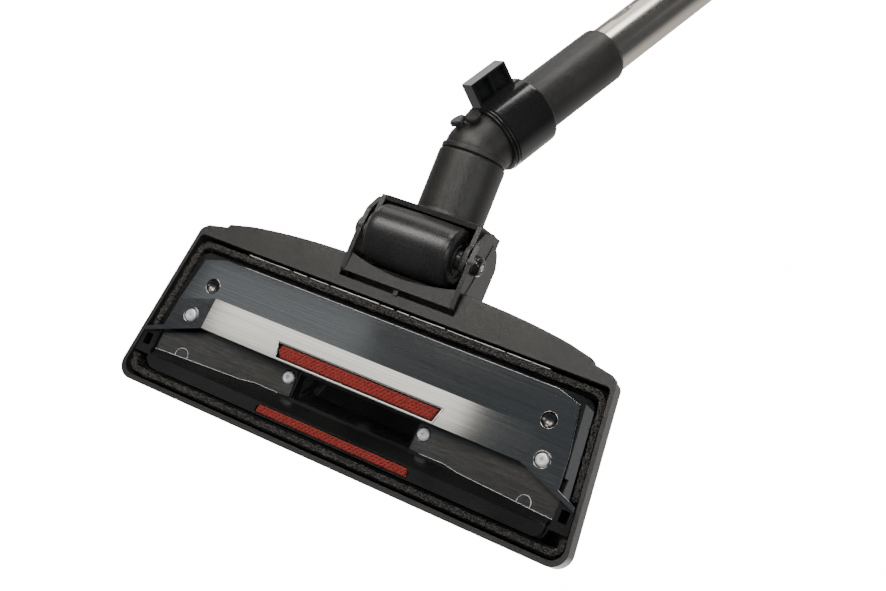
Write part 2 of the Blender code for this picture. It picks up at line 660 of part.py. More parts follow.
def neck():
    cheek = rounded([
        (84.5, -0.6, 1), (89.3, 49.3, 5), (79.0, 49.6, 5), (72.4, 42.2, 0), (67.6, 24.4, 0), (60.0, 9.6, 0),
        (54.6, 5.4, 3), (54.2, -2.6, 4), (61.0, -4.0, 0), (68.6, -3.6, 4), (71.4, -1.0, 0),
    ], 3)
    wall = [(84.5, -0.6), (89.2, 49.0), (86.2, 49.3), (81.7, 0.4)]
    body = prism("neck", wall, "X", -CHEEK_OUT + 0.1, CHEEK_OUT - 0.1)
    roof = [(89.1, 48.6), (88.0, 49.4), (79.4, 49.4), (72.4, 42.2), (73.0, 40.8), (80.8, 46.9), (86.6, 46.4)]
    add(body,
        prism("floor", sector(21.8, 23.6, -2, 78, 8), "X", -CHEEK_IN - 0.5, CHEEK_IN + 0.5),
        prism("roof", roof, "X", -CHEEK_OUT + 0.1, CHEEK_OUT - 0.1))
    for side in (-1, 1):
        lo, hi = sorted((side * CHEEK_IN, side * CHEEK_OUT))
        add(body, prism("cheek", cheek, "X", lo, hi))
    base = (86.0 - ELBOW.y) / NECK_AXIS.y
    add(body, rod("tube", ELBOW, NECK_AXIS, base, -5.9, NECK_R, 36))
    cut(body,
        rod("bore", ELBOW, NECK_AXIS, base - 5, 0, NECK_BORE_R, 36),
        rod_x("axle_bore", AXLE, -50, 50, AXLE_R + GAP, 28))
    return body


def neck_seal():
    return pipe("neck_seal", ELBOW, NECK_AXIS, -30.0, -27.4, NECK_BORE_R - GAP, 14.6)


def snap_ring():
    """Open ring in the elbow's groove that keeps it in the neck."""
    ring = pipe("snap_ring", ELBOW, NECK_AXIS, -19.4, -17.8, NECK_BORE_R - GAP, 17.1)
    gap_box = box("gap", (-2.5, 100, 32), (2.5, 130, 60))
    return cut(ring, gap_box)


# ------------------------------------------------------------------- elbow

def ball(name, radius, axis, bands):
    """Sphere about the elbow's centre with its poles on the axis."""
    turns = [math.pi * k / bands for k in range(1, bands)]
    profile = [(-radius, 0)] + [(-radius * math.cos(a), radius * math.sin(a)) for a in turns] + [(radius, 0)]
    return lathe(name, profile, ELBOW, axis)


def elbow():
    body = lathe("elbow", [(-25.5, 0), (-25.5, 17.9), (-19.7, 17.9), (-19.7, 16.8), (-17.5, 16.8),
                           (-17.5, 17.9), (-5.6, 17.9), (-5.6, 21.2), (-3.2, 21.2), (-2.6, ELBOW_R),
                           (0, ELBOW_R), (0, 0)], ELBOW, NECK_AXIS)
    bend_axis = (NECK_AXIS + WAND_AXIS).normalized()
    add(body,
        ball("ball", ELBOW_R, bend_axis, 12),
        lathe("spigot", [(0, 0), (0, ELBOW_R), (18.6, ELBOW_R), (18.6, 15.7), (52, 15.7), (52, 0)],
              ELBOW, WAND_AXIS))
    cut(body,
        ball("core", ELBOW_BORE_R, bend_axis, 8),
        rod("bore_in", ELBOW, NECK_AXIS, -40, 0, 15.4, 32),
        rod("bore_out", ELBOW, WAND_AXIS, 0, 60, 13.6, 32))
    cut(body, pipe("neck_room", ELBOW, NECK_AXIS, -22.0, -5.6, 24.0, 17.9, 36))
    side, across = wand_frame()
    for along, turn in ((2.4, -0.22), (8.4, -0.02)):
        out = (side * math.cos(turn) + across * math.sin(turn)).normalized()
        lug = lathe("lug", [(17.0, 0), (17.0, 3.4), (23.0, 3.0), (24.8, 1.6), (25.2, 0)],
                    ELBOW + WAND_AXIS * along, out, 12)
        add(body, lug)
    return body


# -------------------------------------------------------------------- wand

def wand_frame():
    """Side and across directions of the parking tab."""
    side = TAB_SIDE - WAND_AXIS * TAB_SIDE.dot(WAND_AXIS)
    side.normalize()
    return side, WAND_AXIS.cross(side)


def wand_block(name, t0, t1, r0, r1, s0, s1):
    side, across = wand_frame()
    verts = [ELBOW + WAND_AXIS * t + side * r + across * s
             for t in (t0, t1) for r in (r0, r1) for s in (s0, s1)]
    faces = [(0, 1, 3, 2), (4, 6, 7, 5), (0, 4, 5, 1), (2, 3, 7, 6), (0, 2, 6, 4), (1, 5, 7, 3)]
    return build(name, verts, faces)


def collar():
    body = lathe("collar", [
        (12.6, 21.0), (12.6, 22.6), (13.4, 23.2), (14.6, 23.2), (15.2, 22.6), (16.0, 22.6), (16.6, COLLAR_R),
        (46.8, COLLAR_R), (48.4, 22.2), (48.8, 21.0), (48.8, SLEEVE_R + GAP), (19.2, SLEEVE_R + GAP),
        (19.2, 21.0)], ELBOW, WAND_AXIS)
    half = 5.2
    add(body, wand_block("tab", 13.4, 41.7, 19.8, 39.2, -half, half))
    for t0, t1 in ((15.2, 26.6), (28.4, 39.9)):
        cut(body,
            wand_block("pocket", t0, t1, 25.8, 37.8, 0.9, half + 2),
            wand_block("pocket", t0, t1, 25.8, 37.8, -half - 2, -0.9))
    cut(body, rod("bore", ELBOW, WAND_AXIS, 19.2, 60, SLEEVE_R + GAP, 36),
        rod("mouth", ELBOW, WAND_AXIS, 5, 19.3, 21.0, 36))
    return body


def sleeve():
    return lathe("sleeve", [
        (20.0, 16.0), (20.0, SLEEVE_R), (112.6, SLEEVE_R), (115.4, 18.0), (116.6, 17.0), (116.6, TUBE_R + GAP),
        (58.0, TUBE_R + GAP), (58.0, 15.0), (55.0, 15.0), (55.0, 16.0)], ELBOW, WAND_AXIS)


def wand_seal():
    """Rubber lip ring on the elbow's spigot end."""
    return pipe("wand_seal", ELBOW, WAND_AXIS, 52.3, 54.4, 15.7, 13.9)


def tube():
    body = pipe("tube", ELBOW, WAND_AXIS, 60.0, TUBE_END, TUBE_R, 15.0)
    side, across = wand_frame()
    for along in (131.0, 161.0, 191.0, 221.0):
        cut(body, wand_block("detent", along, along + 18, 15.5, 19.0, -3.6, 3.6))
    return body


FINISH = {
    "dark": ((0.055, 0.053, 0.050), 0.55, 0.0),
    "black": ((0.012, 0.012, 0.012), 0.28, 0.0),
    "rubber": ((0.02, 0.02, 0.02), 0.8, 0.0),
    "bristle": ((0.05, 0.048, 0.045), 0.95, 0.0),
    "steel": ((0.62, 0.61, 0.59), 0.25, 1.0),
    "dull_steel": ((0.20, 0.195, 0.185), 0.35, 1.0),
    "zinc": ((0.78, 0.78, 0.75), 0.3, 1.0),
    "red": ((0.34, 0.035, 0.022), 0.9, 0.0),
}


def finish(ob, kind):
    colour, roughness, metallic = FINISH[kind]
    mat = bpy.data.materials.new(ob.name)
    mat.use_nodes = True
    shader = mat.node_tree.nodes["Principled BSDF"]
    shader.inputs["Base Color"].default_value = (*colour, 1.0)
    shader.inputs["Roughness"].default_value = roughness
    shader.inputs["Metallic"].default_value = metallic
    ob.data.materials.clear()
    ob.data.materials.append(mat)


def set_origin(ob, point):
    """Move an object's origin to a millimetre point without moving its shape."""
    offset = Vector(point) * MM
    ob.data.transform(Matrix.Translation(-offset))
    ob.location = offset


def main():
    clear_scene()
    parts = [
        (upper_housing(), "dark"),
        (base_tray(), "black"),
        (air_duct(), "black"),
        (sole_plate(), "steel"),
        (front_bar(), "black"),
        (channel_plate("channel_plate_left", 1), "dull_steel"),
        (channel_plate("channel_plate_right", -1), "dull_steel"),
        (thread_lifter_rear(), "red"),
        (thread_lifter_front(), "red"),
    ]
    for tag, side in (("left", 1), ("right", -1)):
        x, y = side * OUTER_SCREW[0], OUTER_SCREW[1]
        parts.append((sole_screw("sole_screw_" + tag, x, y, -1.6, 19.0), "zinc"))
        x, y = side * INNER_SCREW[0], INNER_SCREW[1]
        parts.append((sole_screw("mouth_screw_" + tag, x, y, 10.4, 29.0), "zinc"))
        lo, hi = sorted((side * 36.2, side * 45.6))
        parts.append((rod_x("hinge_pin_" + tag, TILT_AXIS, lo, hi, HINGE_PIN_R), "zinc"))
    pin_lo = PEDAL_X - PEDAL_HALF_WIDTH - 3.4
    pin_hi = PEDAL_X + PEDAL_HALF_WIDTH + 3.4
    parts += [
        (rod_x("pedal_pin", PEDAL_PIVOT, pin_lo, pin_hi, PEDAL_PIN_R), "zinc"),
        (detent_leaf(), "steel"),
        (leaf_screw(), "zinc"),
    ]
    moving = [
        (brush_frame(), "black", (0, -26, 14.7)),
        (bristles("bristles_rear", True), "bristle", (0, -26, 14.7)),
        (bristles("bristles_front", False), "bristle", (0, -26, 14.7)),
        (pedal(), "dark", (PEDAL_X, *PEDAL_PIVOT)),
        (yoke(), "dark", (0, *TILT_AXIS)),
        (axle(), "zinc", (0, *AXLE)),
        (axle_screw(), "zinc", (0, *AXLE)),
        (axle_cap(), "black", (0, *AXLE)),
        (flex_hose(), "rubber", (0, *TILT_AXIS)),
        (roller(), "black", (0, *AXLE)),
        (neck(), "dark", (0, *AXLE)),
        (neck_seal(), "rubber", (0, *AXLE)),
        (elbow(), "dark", ELBOW),
        (snap_ring(), "zinc", ELBOW),
        (wand_seal(), "rubber", ELBOW),
        (collar(), "black", ELBOW),
        (sleeve(), "dark", ELBOW),
        (tube(), "steel", ELBOW),
    ]
    for ob, kind in parts:
        finish(ob, kind)
    for ob, kind, origin in moving:
        finish(ob, kind)
        set_origin(ob, origin)


main()
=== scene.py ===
"""Looks for the floor head, jointed neck and wand end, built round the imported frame.

Builders below take millimetres in the frame's own axes: +X across the head,
+Y back towards the neck, +Z up, with the sole's flat field in z = 0.
"""
import json
import math
import random

import bmesh
import bpy
from mathutils import Matrix, Vector, noise


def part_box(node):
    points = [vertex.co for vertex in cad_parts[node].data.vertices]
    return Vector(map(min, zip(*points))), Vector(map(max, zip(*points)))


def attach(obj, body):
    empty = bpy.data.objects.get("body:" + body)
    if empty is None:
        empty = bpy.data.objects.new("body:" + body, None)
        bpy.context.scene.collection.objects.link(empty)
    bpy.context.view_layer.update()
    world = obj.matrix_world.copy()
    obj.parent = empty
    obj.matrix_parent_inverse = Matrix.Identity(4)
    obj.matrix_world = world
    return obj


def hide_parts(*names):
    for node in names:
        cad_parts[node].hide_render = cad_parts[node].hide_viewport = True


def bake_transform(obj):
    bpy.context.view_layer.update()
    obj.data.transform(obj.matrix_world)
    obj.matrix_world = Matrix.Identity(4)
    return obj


MM = 0.001

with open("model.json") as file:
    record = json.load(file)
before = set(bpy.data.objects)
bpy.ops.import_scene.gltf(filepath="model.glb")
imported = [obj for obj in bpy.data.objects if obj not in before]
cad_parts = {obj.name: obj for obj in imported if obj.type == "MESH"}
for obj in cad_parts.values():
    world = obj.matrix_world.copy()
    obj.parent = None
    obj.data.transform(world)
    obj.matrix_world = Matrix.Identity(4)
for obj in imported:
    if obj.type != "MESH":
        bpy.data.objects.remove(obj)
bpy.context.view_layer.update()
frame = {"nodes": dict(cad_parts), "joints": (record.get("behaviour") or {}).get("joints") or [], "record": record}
nodes = frame["nodes"]
JOINTS = {joint["name"]: joint for joint in frame["joints"]}
SLOTS = {part["node"]: part["material_slot"] for part in frame["record"]["subparts"]}


def joint_point(name):
    """A hinge's point in millimetres."""
    return Vector(JOINTS[name]["pos_m"]) / MM


def joint_axis(name):
    return Vector(JOINTS[name]["axis"]).normalized()


def node_box(name):
    """Lowest and highest corner of a CAD node in millimetres."""
    low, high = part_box(name)
    return low / MM, high / MM


AXLE = joint_point("roller_spin")
ELBOW = joint_point("elbow_swivel")
NECK_AXIS = joint_axis("elbow_swivel")
WAND_AXIS = joint_axis("wand_pull")
X_AXIS = Vector((1, 0, 0))
Z_AXIS = Vector((0, 0, 1))

# The parking tab points this way from the wand's centre line.
TAB_SIDE = Vector((0.421, 0.474, -0.773))
TAB_SIDE = (TAB_SIDE - WAND_AXIS * TAB_SIDE.dot(WAND_AXIS)).normalized()
TAB_ACROSS = WAND_AXIS.cross(TAB_SIDE)

# ---- camera

CAMERA_AT = Vector((-0.2986, -0.0643, -0.6320))
CAMERA_RIGHT = Vector((-0.8649, 0.3989, 0.3046))
CAMERA_UP = Vector((0.3178, 0.9050, -0.2829))
LENS = 48.76


def make_camera():
    right = CAMERA_RIGHT.normalized()
    back = right.cross(CAMERA_UP).normalized()
    up = back.cross(right)
    data = bpy.data.cameras.new("camera")
    data.lens, data.sensor_width = LENS, 36.0
    data.clip_start, data.clip_end = 0.01, 50.0
    camera = bpy.data.objects.new("camera", data)
    rows = [(right[i], up[i], back[i], CAMERA_AT[i]) for i in range(3)]
    camera.matrix_world = Matrix(rows + [(0, 0, 0, 1)])
    bpy.context.scene.collection.objects.link(camera)
    bpy.context.scene.camera = camera


# ---- materials

class Shader:
    """A material's node tree with short calls for the nodes used here."""

    SOCKETS = {
        "color": "Base Color", "rough": "Roughness", "metal": "Metallic", "normal": "Normal",
        "sheen": "Sheen Weight", "sheen_rough": "Sheen Roughness", "specular": "Specular IOR Level",
    }

    def __init__(self, name):
        self.mat = bpy.data.materials.new(name + "_look")
        self.mat.use_nodes = True
        self.tree = self.mat.node_tree
        self.bsdf = self.tree.nodes["Principled BSDF"]
        self.coords = self.tree.nodes.new("ShaderNodeTexCoord").outputs["Object"]

    def link(self, a, b):
        self.tree.links.new(a, b)

    def node(self, kind, **values):
        made = self.tree.nodes.new(kind)
        for key, value in values.items():
            if key in made.inputs:
                made.inputs[key].default_value = value
            else:
                setattr(made, key, value)
        return made

    def stretch(self, scale, turn=(0.0, 0.0, 0.0)):
        """Object coordinates turned and then scaled."""
        turned = self.node("ShaderNodeMapping", Rotation=turn)
        self.link(self.coords, turned.inputs["Vector"])
        scaled = self.node("ShaderNodeMapping", Scale=scale)
        self.link(turned.outputs["Vector"], scaled.inputs["Vector"])
        return scaled.outputs["Vector"]

    def noise(self, where, scale, detail=3.0, rough=0.55):
        made = self.node("ShaderNodeTexNoise", Scale=scale, Detail=detail, Roughness=rough)
        self.link(where, made.inputs["Vector"])
        return made.outputs["Fac"]

    def attribute(self, name):
        return self.node("ShaderNodeAttribute", attribute_name=name).outputs["Fac"]

    def remap(self, value, lo, hi, start=0.3, end=0.7):
        ends = {"From Min": start, "From Max": end, "To Min": lo, "To Max": hi}
        made = self.node("ShaderNodeMapRange", **ends)
        self.link(value, made.inputs["Value"])
        return made.outputs["Result"]

    def mix(self, factor, a, b):
        made = self.node("ShaderNodeMix", data_type="RGBA")
        made.inputs[6].default_value = (*a, 1.0)
        made.inputs[7].default_value = (*b, 1.0)
        self.link(factor, made.inputs[0])
        return made.outputs[2]

    def bump(self, height, strength, distance, under=None):
        made = self.node("ShaderNodeBump", Strength=strength, Distance=distance)
        self.link(height, made.inputs["Height"])
        if under is not None:
            self.link(under, made.inputs["Normal"])
        return made.outputs["Normal"]

    def set(self, **values):
        for key, value in values.items():
            socket = self.bsdf.inputs[self.SOCKETS[key]]
            if hasattr(value, "is_output"):
                self.link(value, socket)
            elif key == "color":
                socket.default_value = (*value, 1.0)
            else:
                socket.default_value = value
        return self.mat


def moulded(name, dark, light, rough, grain, depth, specular=0.5):
    """Moulded plastic: fine spark-eroded grain under broad handling marks."""
    s = Shader(name)
    fine = s.noise(s.coords, grain, 2.0, 0.6)
    broad = s.noise(s.coords, 38.0, 4.0, 0.6)
    return s.set(
        color=s.mix(s.remap(broad, 0, 1, 0.35, 0.65), dark, light),
        rough=s.remap(fine, rough - 0.07, rough + 0.07),
        specular=specular,
        normal=s.bump(fine, 0.8, depth),
    )


def gloss(name, dark, light, rough):
    """Glossy moulded plastic with faint scuffs and a soft mould waviness."""
    s = Shader(name)
    wave = s.noise(s.coords, 26.0, 2.0, 0.4)
    scuff = s.noise(s.stretch((60, 900, 900)), 1.0, 4.0, 0.7)
    return s.set(
        color=s.mix(s.remap(wave, 0, 1), dark, light),
        rough=s.remap(scuff, rough, rough + 0.14, 0.45, 0.8),
        normal=s.bump(scuff, 0.03, 0.0001, s.bump(wave, 0.06, 0.0010)),
    )


def brushed(name, dark, light, rough, along, turn=(0.0, 0.0, 0.0), metal=1.0):
    """Rolled sheet or drawn tube with fine lines along one axis."""
    s = Shader(name)
    lines = s.noise(s.stretch(along, turn), 1.0, 5.0, 0.75)
    smear = s.noise(s.stretch((5, 22, 22)), 1.0, 3.0, 0.5)
    return s.set(
        color=s.mix(s.remap(lines, 0, 1), dark, light),
        rough=s.remap(smear, rough - 0.02, rough + 0.03),
        metal=metal,
        normal=s.bump(lines, 0.05, 0.00005),
    )


def velour(name, dark, light):
    """Short red pile with painted shade: darker down in the gaps between the woven rows, where the pile height is
    low.
    """
    s = Shader(name)
    fibre = s.noise(s.coords, 2600.0, 2.0, 0.7)
    # The pile height multiplies the colour and darkens the gaps between the rows: painted shade. The fibre noise
    # is the fabric's own random tone.
    pile = s.attribute("pile")
    both = s.node("ShaderNodeMath", operation="MULTIPLY")
    s.link(s.remap(fibre, 0.35, 1.25), both.inputs[0])
    s.link(pile, both.inputs[1])
    return s.set(
        color=s.mix(both.outputs[0], dark, light),
        rough=0.85,
        sheen=0.08,
        sheen_rough=0.5,
        normal=s.bump(fibre, 0.8, 0.0004),
    )


def fibre(name, dark, light):
    """Bristle fibre with a few pale ends."""
    s = Shader(name)
    tint = s.noise(s.coords, 950.0, 3.0, 0.75)
    return s.set(
        color=s.mix(s.remap(tint, 0, 1, 0.42, 0.66), dark, light),
        rough=s.remap(s.noise(s.coords, 300.0), 0.55, 0.8),
    )


def wand_turn():
    """Rotation that brings the wand's axis onto X."""
    return WAND_AXIS.rotation_difference(X_AXIS).to_euler("XYZ")


LOOKS = {
    "housing_plastic": moulded(
        "housing_plastic", (0.0175, 0.0165, 0.0147), (0.0235, 0.022, 0.0197),
        rough=0.42, grain=1500, depth=0.00013, specular=0.62),
    "gloss_black_plastic": gloss("gloss_black", (0.008, 0.008, 0.008), (0.016, 0.016, 0.016), rough=0.13),
    "roller_plastic": moulded(
        "roller", (0.012, 0.012, 0.012), (0.018, 0.018, 0.0175),
        rough=0.31, grain=1900, depth=0.00001, specular=0.6),
    "bristle_fibre": fibre("bristle", (0.060, 0.057, 0.052), (0.40, 0.38, 0.35)),
    "sole_steel": brushed(
        "sole_steel", (0.38, 0.37, 0.35), (0.56, 0.55, 0.525), rough=0.09, along=(6, 900, 900)),
    "channel_steel": brushed(
        "channel_steel", (0.12, 0.116, 0.108), (0.24, 0.232, 0.216),
        rough=0.26, along=(14, 700, 700)),
    # The zinc look is the screws' own finish; it also colours the bright strips on edges, stampings and behind the
    # bristles, where it is a painted highlight.
    "zinc_steel": brushed(
        "zinc", (0.80, 0.82, 0.83), (0.93, 0.95, 0.95),
        rough=0.34, along=(300, 300, 300), metal=0.6),
    "red_velour": velour("velour", (0.022, 0.0012, 0.0008), (0.30, 0.019, 0.010)),
    "black_rubber": moulded(
        "rubber", (0.010, 0.010, 0.010), (0.016, 0.016, 0.016),
        rough=0.6, grain=600, depth=0.0003),
    "tube_steel": brushed(
        "tube_steel", (0.55, 0.51, 0.455), (0.67, 0.62, 0.555),
        rough=0.24, along=(16, 700, 700), turn=wand_turn()),
}


# Edge rounding of the CAD nodes that are kept as they are, in millimetres.
CAD_EDGES = {
    "base_tray": 0.35, "pedal": 0.8, "front_bar": 0.35, "brush_frame": 0.3,
    "channel_plate_left": 0.15, "channel_plate_right": 0.15, "air_duct": 0.3, "axle": 0.2,
}


def dress_cad():
    for name, node in nodes.items():
        node.data.materials.clear()
        node.data.materials.append(LOOKS[SLOTS[name]])


# ---- mesh builders

def build(name, verts, faces):
    """A mesh object from millimetre points, its faces turned outwards."""
    mesh = bpy.data.meshes.new(name)
    mesh.from_pydata([Vector(v) * MM for v in verts], [], faces)
    ob = bpy.data.objects.new(name, mesh)
    bpy.context.scene.collection.objects.link(ob)
    face_outwards(mesh)
    return ob


def face_outwards(mesh):
    bm = bmesh.new()
    bm.from_mesh(mesh)
    bmesh.ops.remove_doubles(bm, verts=bm.verts, dist=2e-6)
    bmesh.ops.recalc_face_normals(bm, faces=bm.faces)
    bm.to_mesh(mesh)
    bm.free()


def apply_modifiers(ob):
    graph = bpy.context.evaluated_depsgraph_get()
    mesh = bpy.data.meshes.new_from_object(ob.evaluated_get(graph))
    ob.modifiers.clear()
    ob.data = mesh
    mesh.name = ob.name
    return ob


def combine(target, tool, operation):
    """Apply one exact Boolean and remove the tool."""
    mod = target.modifiers.new(operation, "BOOLEAN")
    mod.operation = operation
    mod.solver = "EXACT"
    mod.object = tool
    apply_modifiers(target)
    face_outwards(target.data)
    bpy.data.objects.remove(tool, do_unlink=True)
    return target


def add(target, *tools):
    for tool in tools:
        combine(target, tool, "UNION")
    return target


def cut(target, *tools):
    for tool in tools:
        combine(target, tool, "DIFFERENCE")
    return target


def round_edges(ob, width, segments=3, angle=32.0):
    """Rounded edges with even shading, in millimetres."""
    weld = ob.modifiers.new("weld", "WELD")
    weld.merge_threshold = 1e-5
    bevel = ob.modifiers.new("bevel", "BEVEL")
    bevel.width = width * MM
    bevel.segments = segments
    bevel.limit_method = "ANGLE"
    bevel.angle_limit = math.radians(angle)
    bevel.miter_outer = "MITER_ARC"
    normals = ob.modifiers.new("normals", "WEIGHTED_NORMAL")
    normals.keep_sharp, normals.weight = True, 90
    return ob


def rounded(corners, seg=8):
    """Closed outline through (u, v, radius) corners."""
    out = []
    count = len(corners)
    for i, (u, v, radius) in enumerate(corners):
        here = Vector((u, v))
        if radius <= 0:
            out.append((u, v))
            continue
        back = (Vector(corners[i - 1][:2]) - here).normalized()
        ahead = (Vector(corners[(i + 1) % count][:2]) - here).normalized()
        half = math.acos(max(-1.0, min(1.0, back.dot(ahead)))) / 2
        centre = here + (back + ahead).normalized() * (radius / math.sin(half))
        start = here + back * (radius / math.tan(half)) - centre
        end = here + ahead * (radius / math.tan(half)) - centre
        a0 = math.atan2(start.y, start.x)
        turn = (math.atan2(end.y, end.x) - a0 + math.pi) % (2 * math.pi) - math.pi
        for k in range(seg + 1):
            a = a0 + turn * k / seg
            out.append((centre.x + radius * math.cos(a), centre.y + radius * math.sin(a)))
    return out


def mirrored(half):
    """Full (u, v, radius) corner list from its +u half."""
    return list(half) + [(-u, v, r) for u, v, r in reversed(half)]


def prism(name, outline, axis, lo, hi):
    """Extrude a 2-D outline: (y, z) along X, (x, z) along Y or (x, y) along Z."""
    place = {
        "X": lambda u, v, w: (w, u, v),
        "Y": lambda u, v, w: (u, w, v),
        "Z": lambda u, v, w: (u, v, w),
    }[axis]
    n = len(outline)
    verts = [place(p[0], p[1], lo) for p in outline]
    verts += [place(p[0], p[1], hi) for p in outline]
    faces = [tuple(range(n)), tuple(range(n, 2 * n))]
    faces += [(i, (i + 1) % n, n + (i + 1) % n, n + i) for i in range(n)]
    return build(name, verts, faces)


def box(name, lo, hi):
    outline = [(lo[0], lo[1]), (hi[0], lo[1]), (hi[0], hi[1]), (lo[0], hi[1])]
    return prism(name, outline, "Z", lo[2], hi[2])


def loops(name, rings, wrap=False):
    """Skin a list of equal loops; wrap joins the last loop to the first."""
    n = len(rings[0])
    verts = [p for ring in rings for p in ring]
    last = len(rings) if wrap else len(rings) - 1
    faces = []
    for r in range(last):
        a = r * n
        b = ((r + 1) % len(rings)) * n
        faces += [(a + i, a + (i + 1) % n, b + (i + 1) % n, b + i) for i in range(n)]
    if not wrap:
        faces += [tuple(range(n)), tuple(range((len(rings) - 1) * n, len(rings) * n))]
    return build(name, verts, faces)


def lathe(name, profile, origin, axis, seg=96, shape=None):
    """Turn a closed (along, radius) profile about an axis; radius 0 is a pole.
    shape(along, radius, angle) may return a changed radius. Angles about the
    wand's axis start at the parking tab."""
    axis = Vector(axis).normalized()
    side = TAB_SIDE if (axis - WAND_AXIS).length < 1e-5 else axis.orthogonal().normalized()
    other = axis.cross(side)
    origin = Vector(origin)
    verts = []
    start = []
    for along, radius in profile:
        start.append(len(verts))
        for k in range(seg if radius > 0 else 1):
            a = 2 * math.pi * k / seg
            r = shape(along, radius, a) if shape else radius
            verts.append(origin + axis * along + (side * math.cos(a) + other * math.sin(a)) * r)
    faces = []
    n = len(profile)
    for i in range(n):
        j = (i + 1) % n
        a, b = start[i], start[j]
        pole_a, pole_b = profile[i][1] <= 0, profile[j][1] <= 0
        if pole_a and pole_b:
            continue
        for k in range(seg):
            m = (k + 1) % seg
            if pole_a:
                faces.append((a, b + k, b + m))
            elif pole_b:
                faces.append((a + k, b, a + m))
            else:
                faces.append((a + k, b + k, b + m, a + m))
    return build(name, verts, faces)


def rod(name, origin, axis, lo, hi, radius, seg=64):
    return lathe(name, [(lo, 0), (lo, radius), (hi, radius), (hi, 0)], origin, axis, seg)


def rod_x(name, centre, lo, hi, radius, seg=48):
    return rod(name, (0, centre[0], centre[1]), X_AXIS, lo, hi, radius, seg)


def arc(centre, radius, start_deg, end_deg, seg=6):
    """Points of an arc in a profile plane."""
    angles = [math.radians(start_deg + (end_deg - start_deg) * k / seg) for k in range(seg + 1)]
    return [(centre[0] + radius * math.cos(a), centre[1] + radius * math.sin(a)) for a in angles]


def span(side, near, far):
    """Low and high end of a length on one side of the middle."""
    return sorted((side * near, side * far))


def piece(ob, body, slot, *stands_for, smooth=34.0):
    """Shade, dress and attach a finished piece."""
    ob.data.shade_smooth()
    ob.data.set_sharp_from_angle(angle=math.radians(smooth))
    ob.data.materials.clear()
    ob.data.materials.append(LOOKS[slot])
    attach(ob, body)
    if stands_for:
        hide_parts(*stands_for)


# ---- head

RIM_REAR_Y, RIM_FRONT_Y = 28.3, -78.5
RIM_INNER_REAR_Y, RIM_INNER_FRONT_Y = 22.9, -75.2
REAR_HALF_WIDTH, REAR_HALF_WIDTH_Y, SIDE_TAPER = 143.4, 22.0, 0.116
RIM_WALL = 2.6
RIM_BOTTOM_Z = 1.0
SHOULDER_Z, CROWN_Z = 16.0, 40.0
CROWN_HALF_X, CROWN_FRONT_Y, CROWN_REAR_Y = 100.0, -30.0, 2.0
FLANGE_HALF_X, FLANGE_REAR_Y, FLANGE_SWEEP = 124.9, 44.0, 8.8
BAY_HALF_WIDTH = 39.6
PEDAL_X, PEDAL_HALF_WIDTH = -73.0, 25.5
PEDAL_PIVOT = joint_point("pedal_rock").yz
TILT_AXIS = joint_point("knuckle_tilt").yz
EAR_IN, EAR_OUT = 36.0, 39.0
AXLE_BORE_R, TILT_BORE_R = 3.3, 2.8
RAMP_TOP_Y, RAMP_BOTTOM_Y, RAMP_DROP = -12.4, -32.7, 1.6
SHEET = 1.2
DIMPLE_X, DIMPLE_Y, DIMPLE_R = 115.9, -5.9, 4.9
OUTER_SCREW = (121.1, -27.4)
INNER_SCREW = (47.4, -39.1)
PLATE_Z, PLATE_START_X, PLATE_SLOPE = 12.4, 42.0, 0.085
PLATE_FRONT_Y, PLATE_BEND_X, PLATE_BEND_RUN, PLATE_SET_FORWARD = -51.6, 76.0, 61.8, 3.0
STRIP_INSET, HALF_STRIP = 5.6, 2.0


def half_width(y):
    """Outer half width of the head at a given y."""
    return REAR_HALF_WIDTH + SIDE_TAPER * (REAR_HALF_WIDTH_Y - y)


def trapezoid(rear_y, front_y, inset, rear_r, front_r):
    """Head-shaped outline, set in from the outer sides."""
    return rounded(mirrored([
        (half_width(rear_y) - inset, rear_y, rear_r),
        (half_width(front_y) - inset, front_y, front_r),
    ]), 14)


def ramp_z(y):
    """Height of the sole sheet's bent-down front part."""
    return -RAMP_DROP * max(0.0, RAMP_TOP_Y - y) / (RAMP_TOP_Y - RAMP_BOTTOM_Y)


def dome_ring(outline, pull, z):
    """Outline drawn in towards the flat crown."""
    ring = []
    for x, y in outline:
        cx = max(-CROWN_HALF_X, min(CROWN_HALF_X, x))
        cy = max(CROWN_FRONT_Y, min(CROWN_REAR_Y, y))
        ring.append((x + (cx - x) * pull, y + (cy - y) * pull, z))
    return ring


def dome_z(pull):
    return SHOULDER_Z + (CROWN_Z - SHOULDER_Z) * (1 - (1 - pull) ** 1.6) ** 0.65


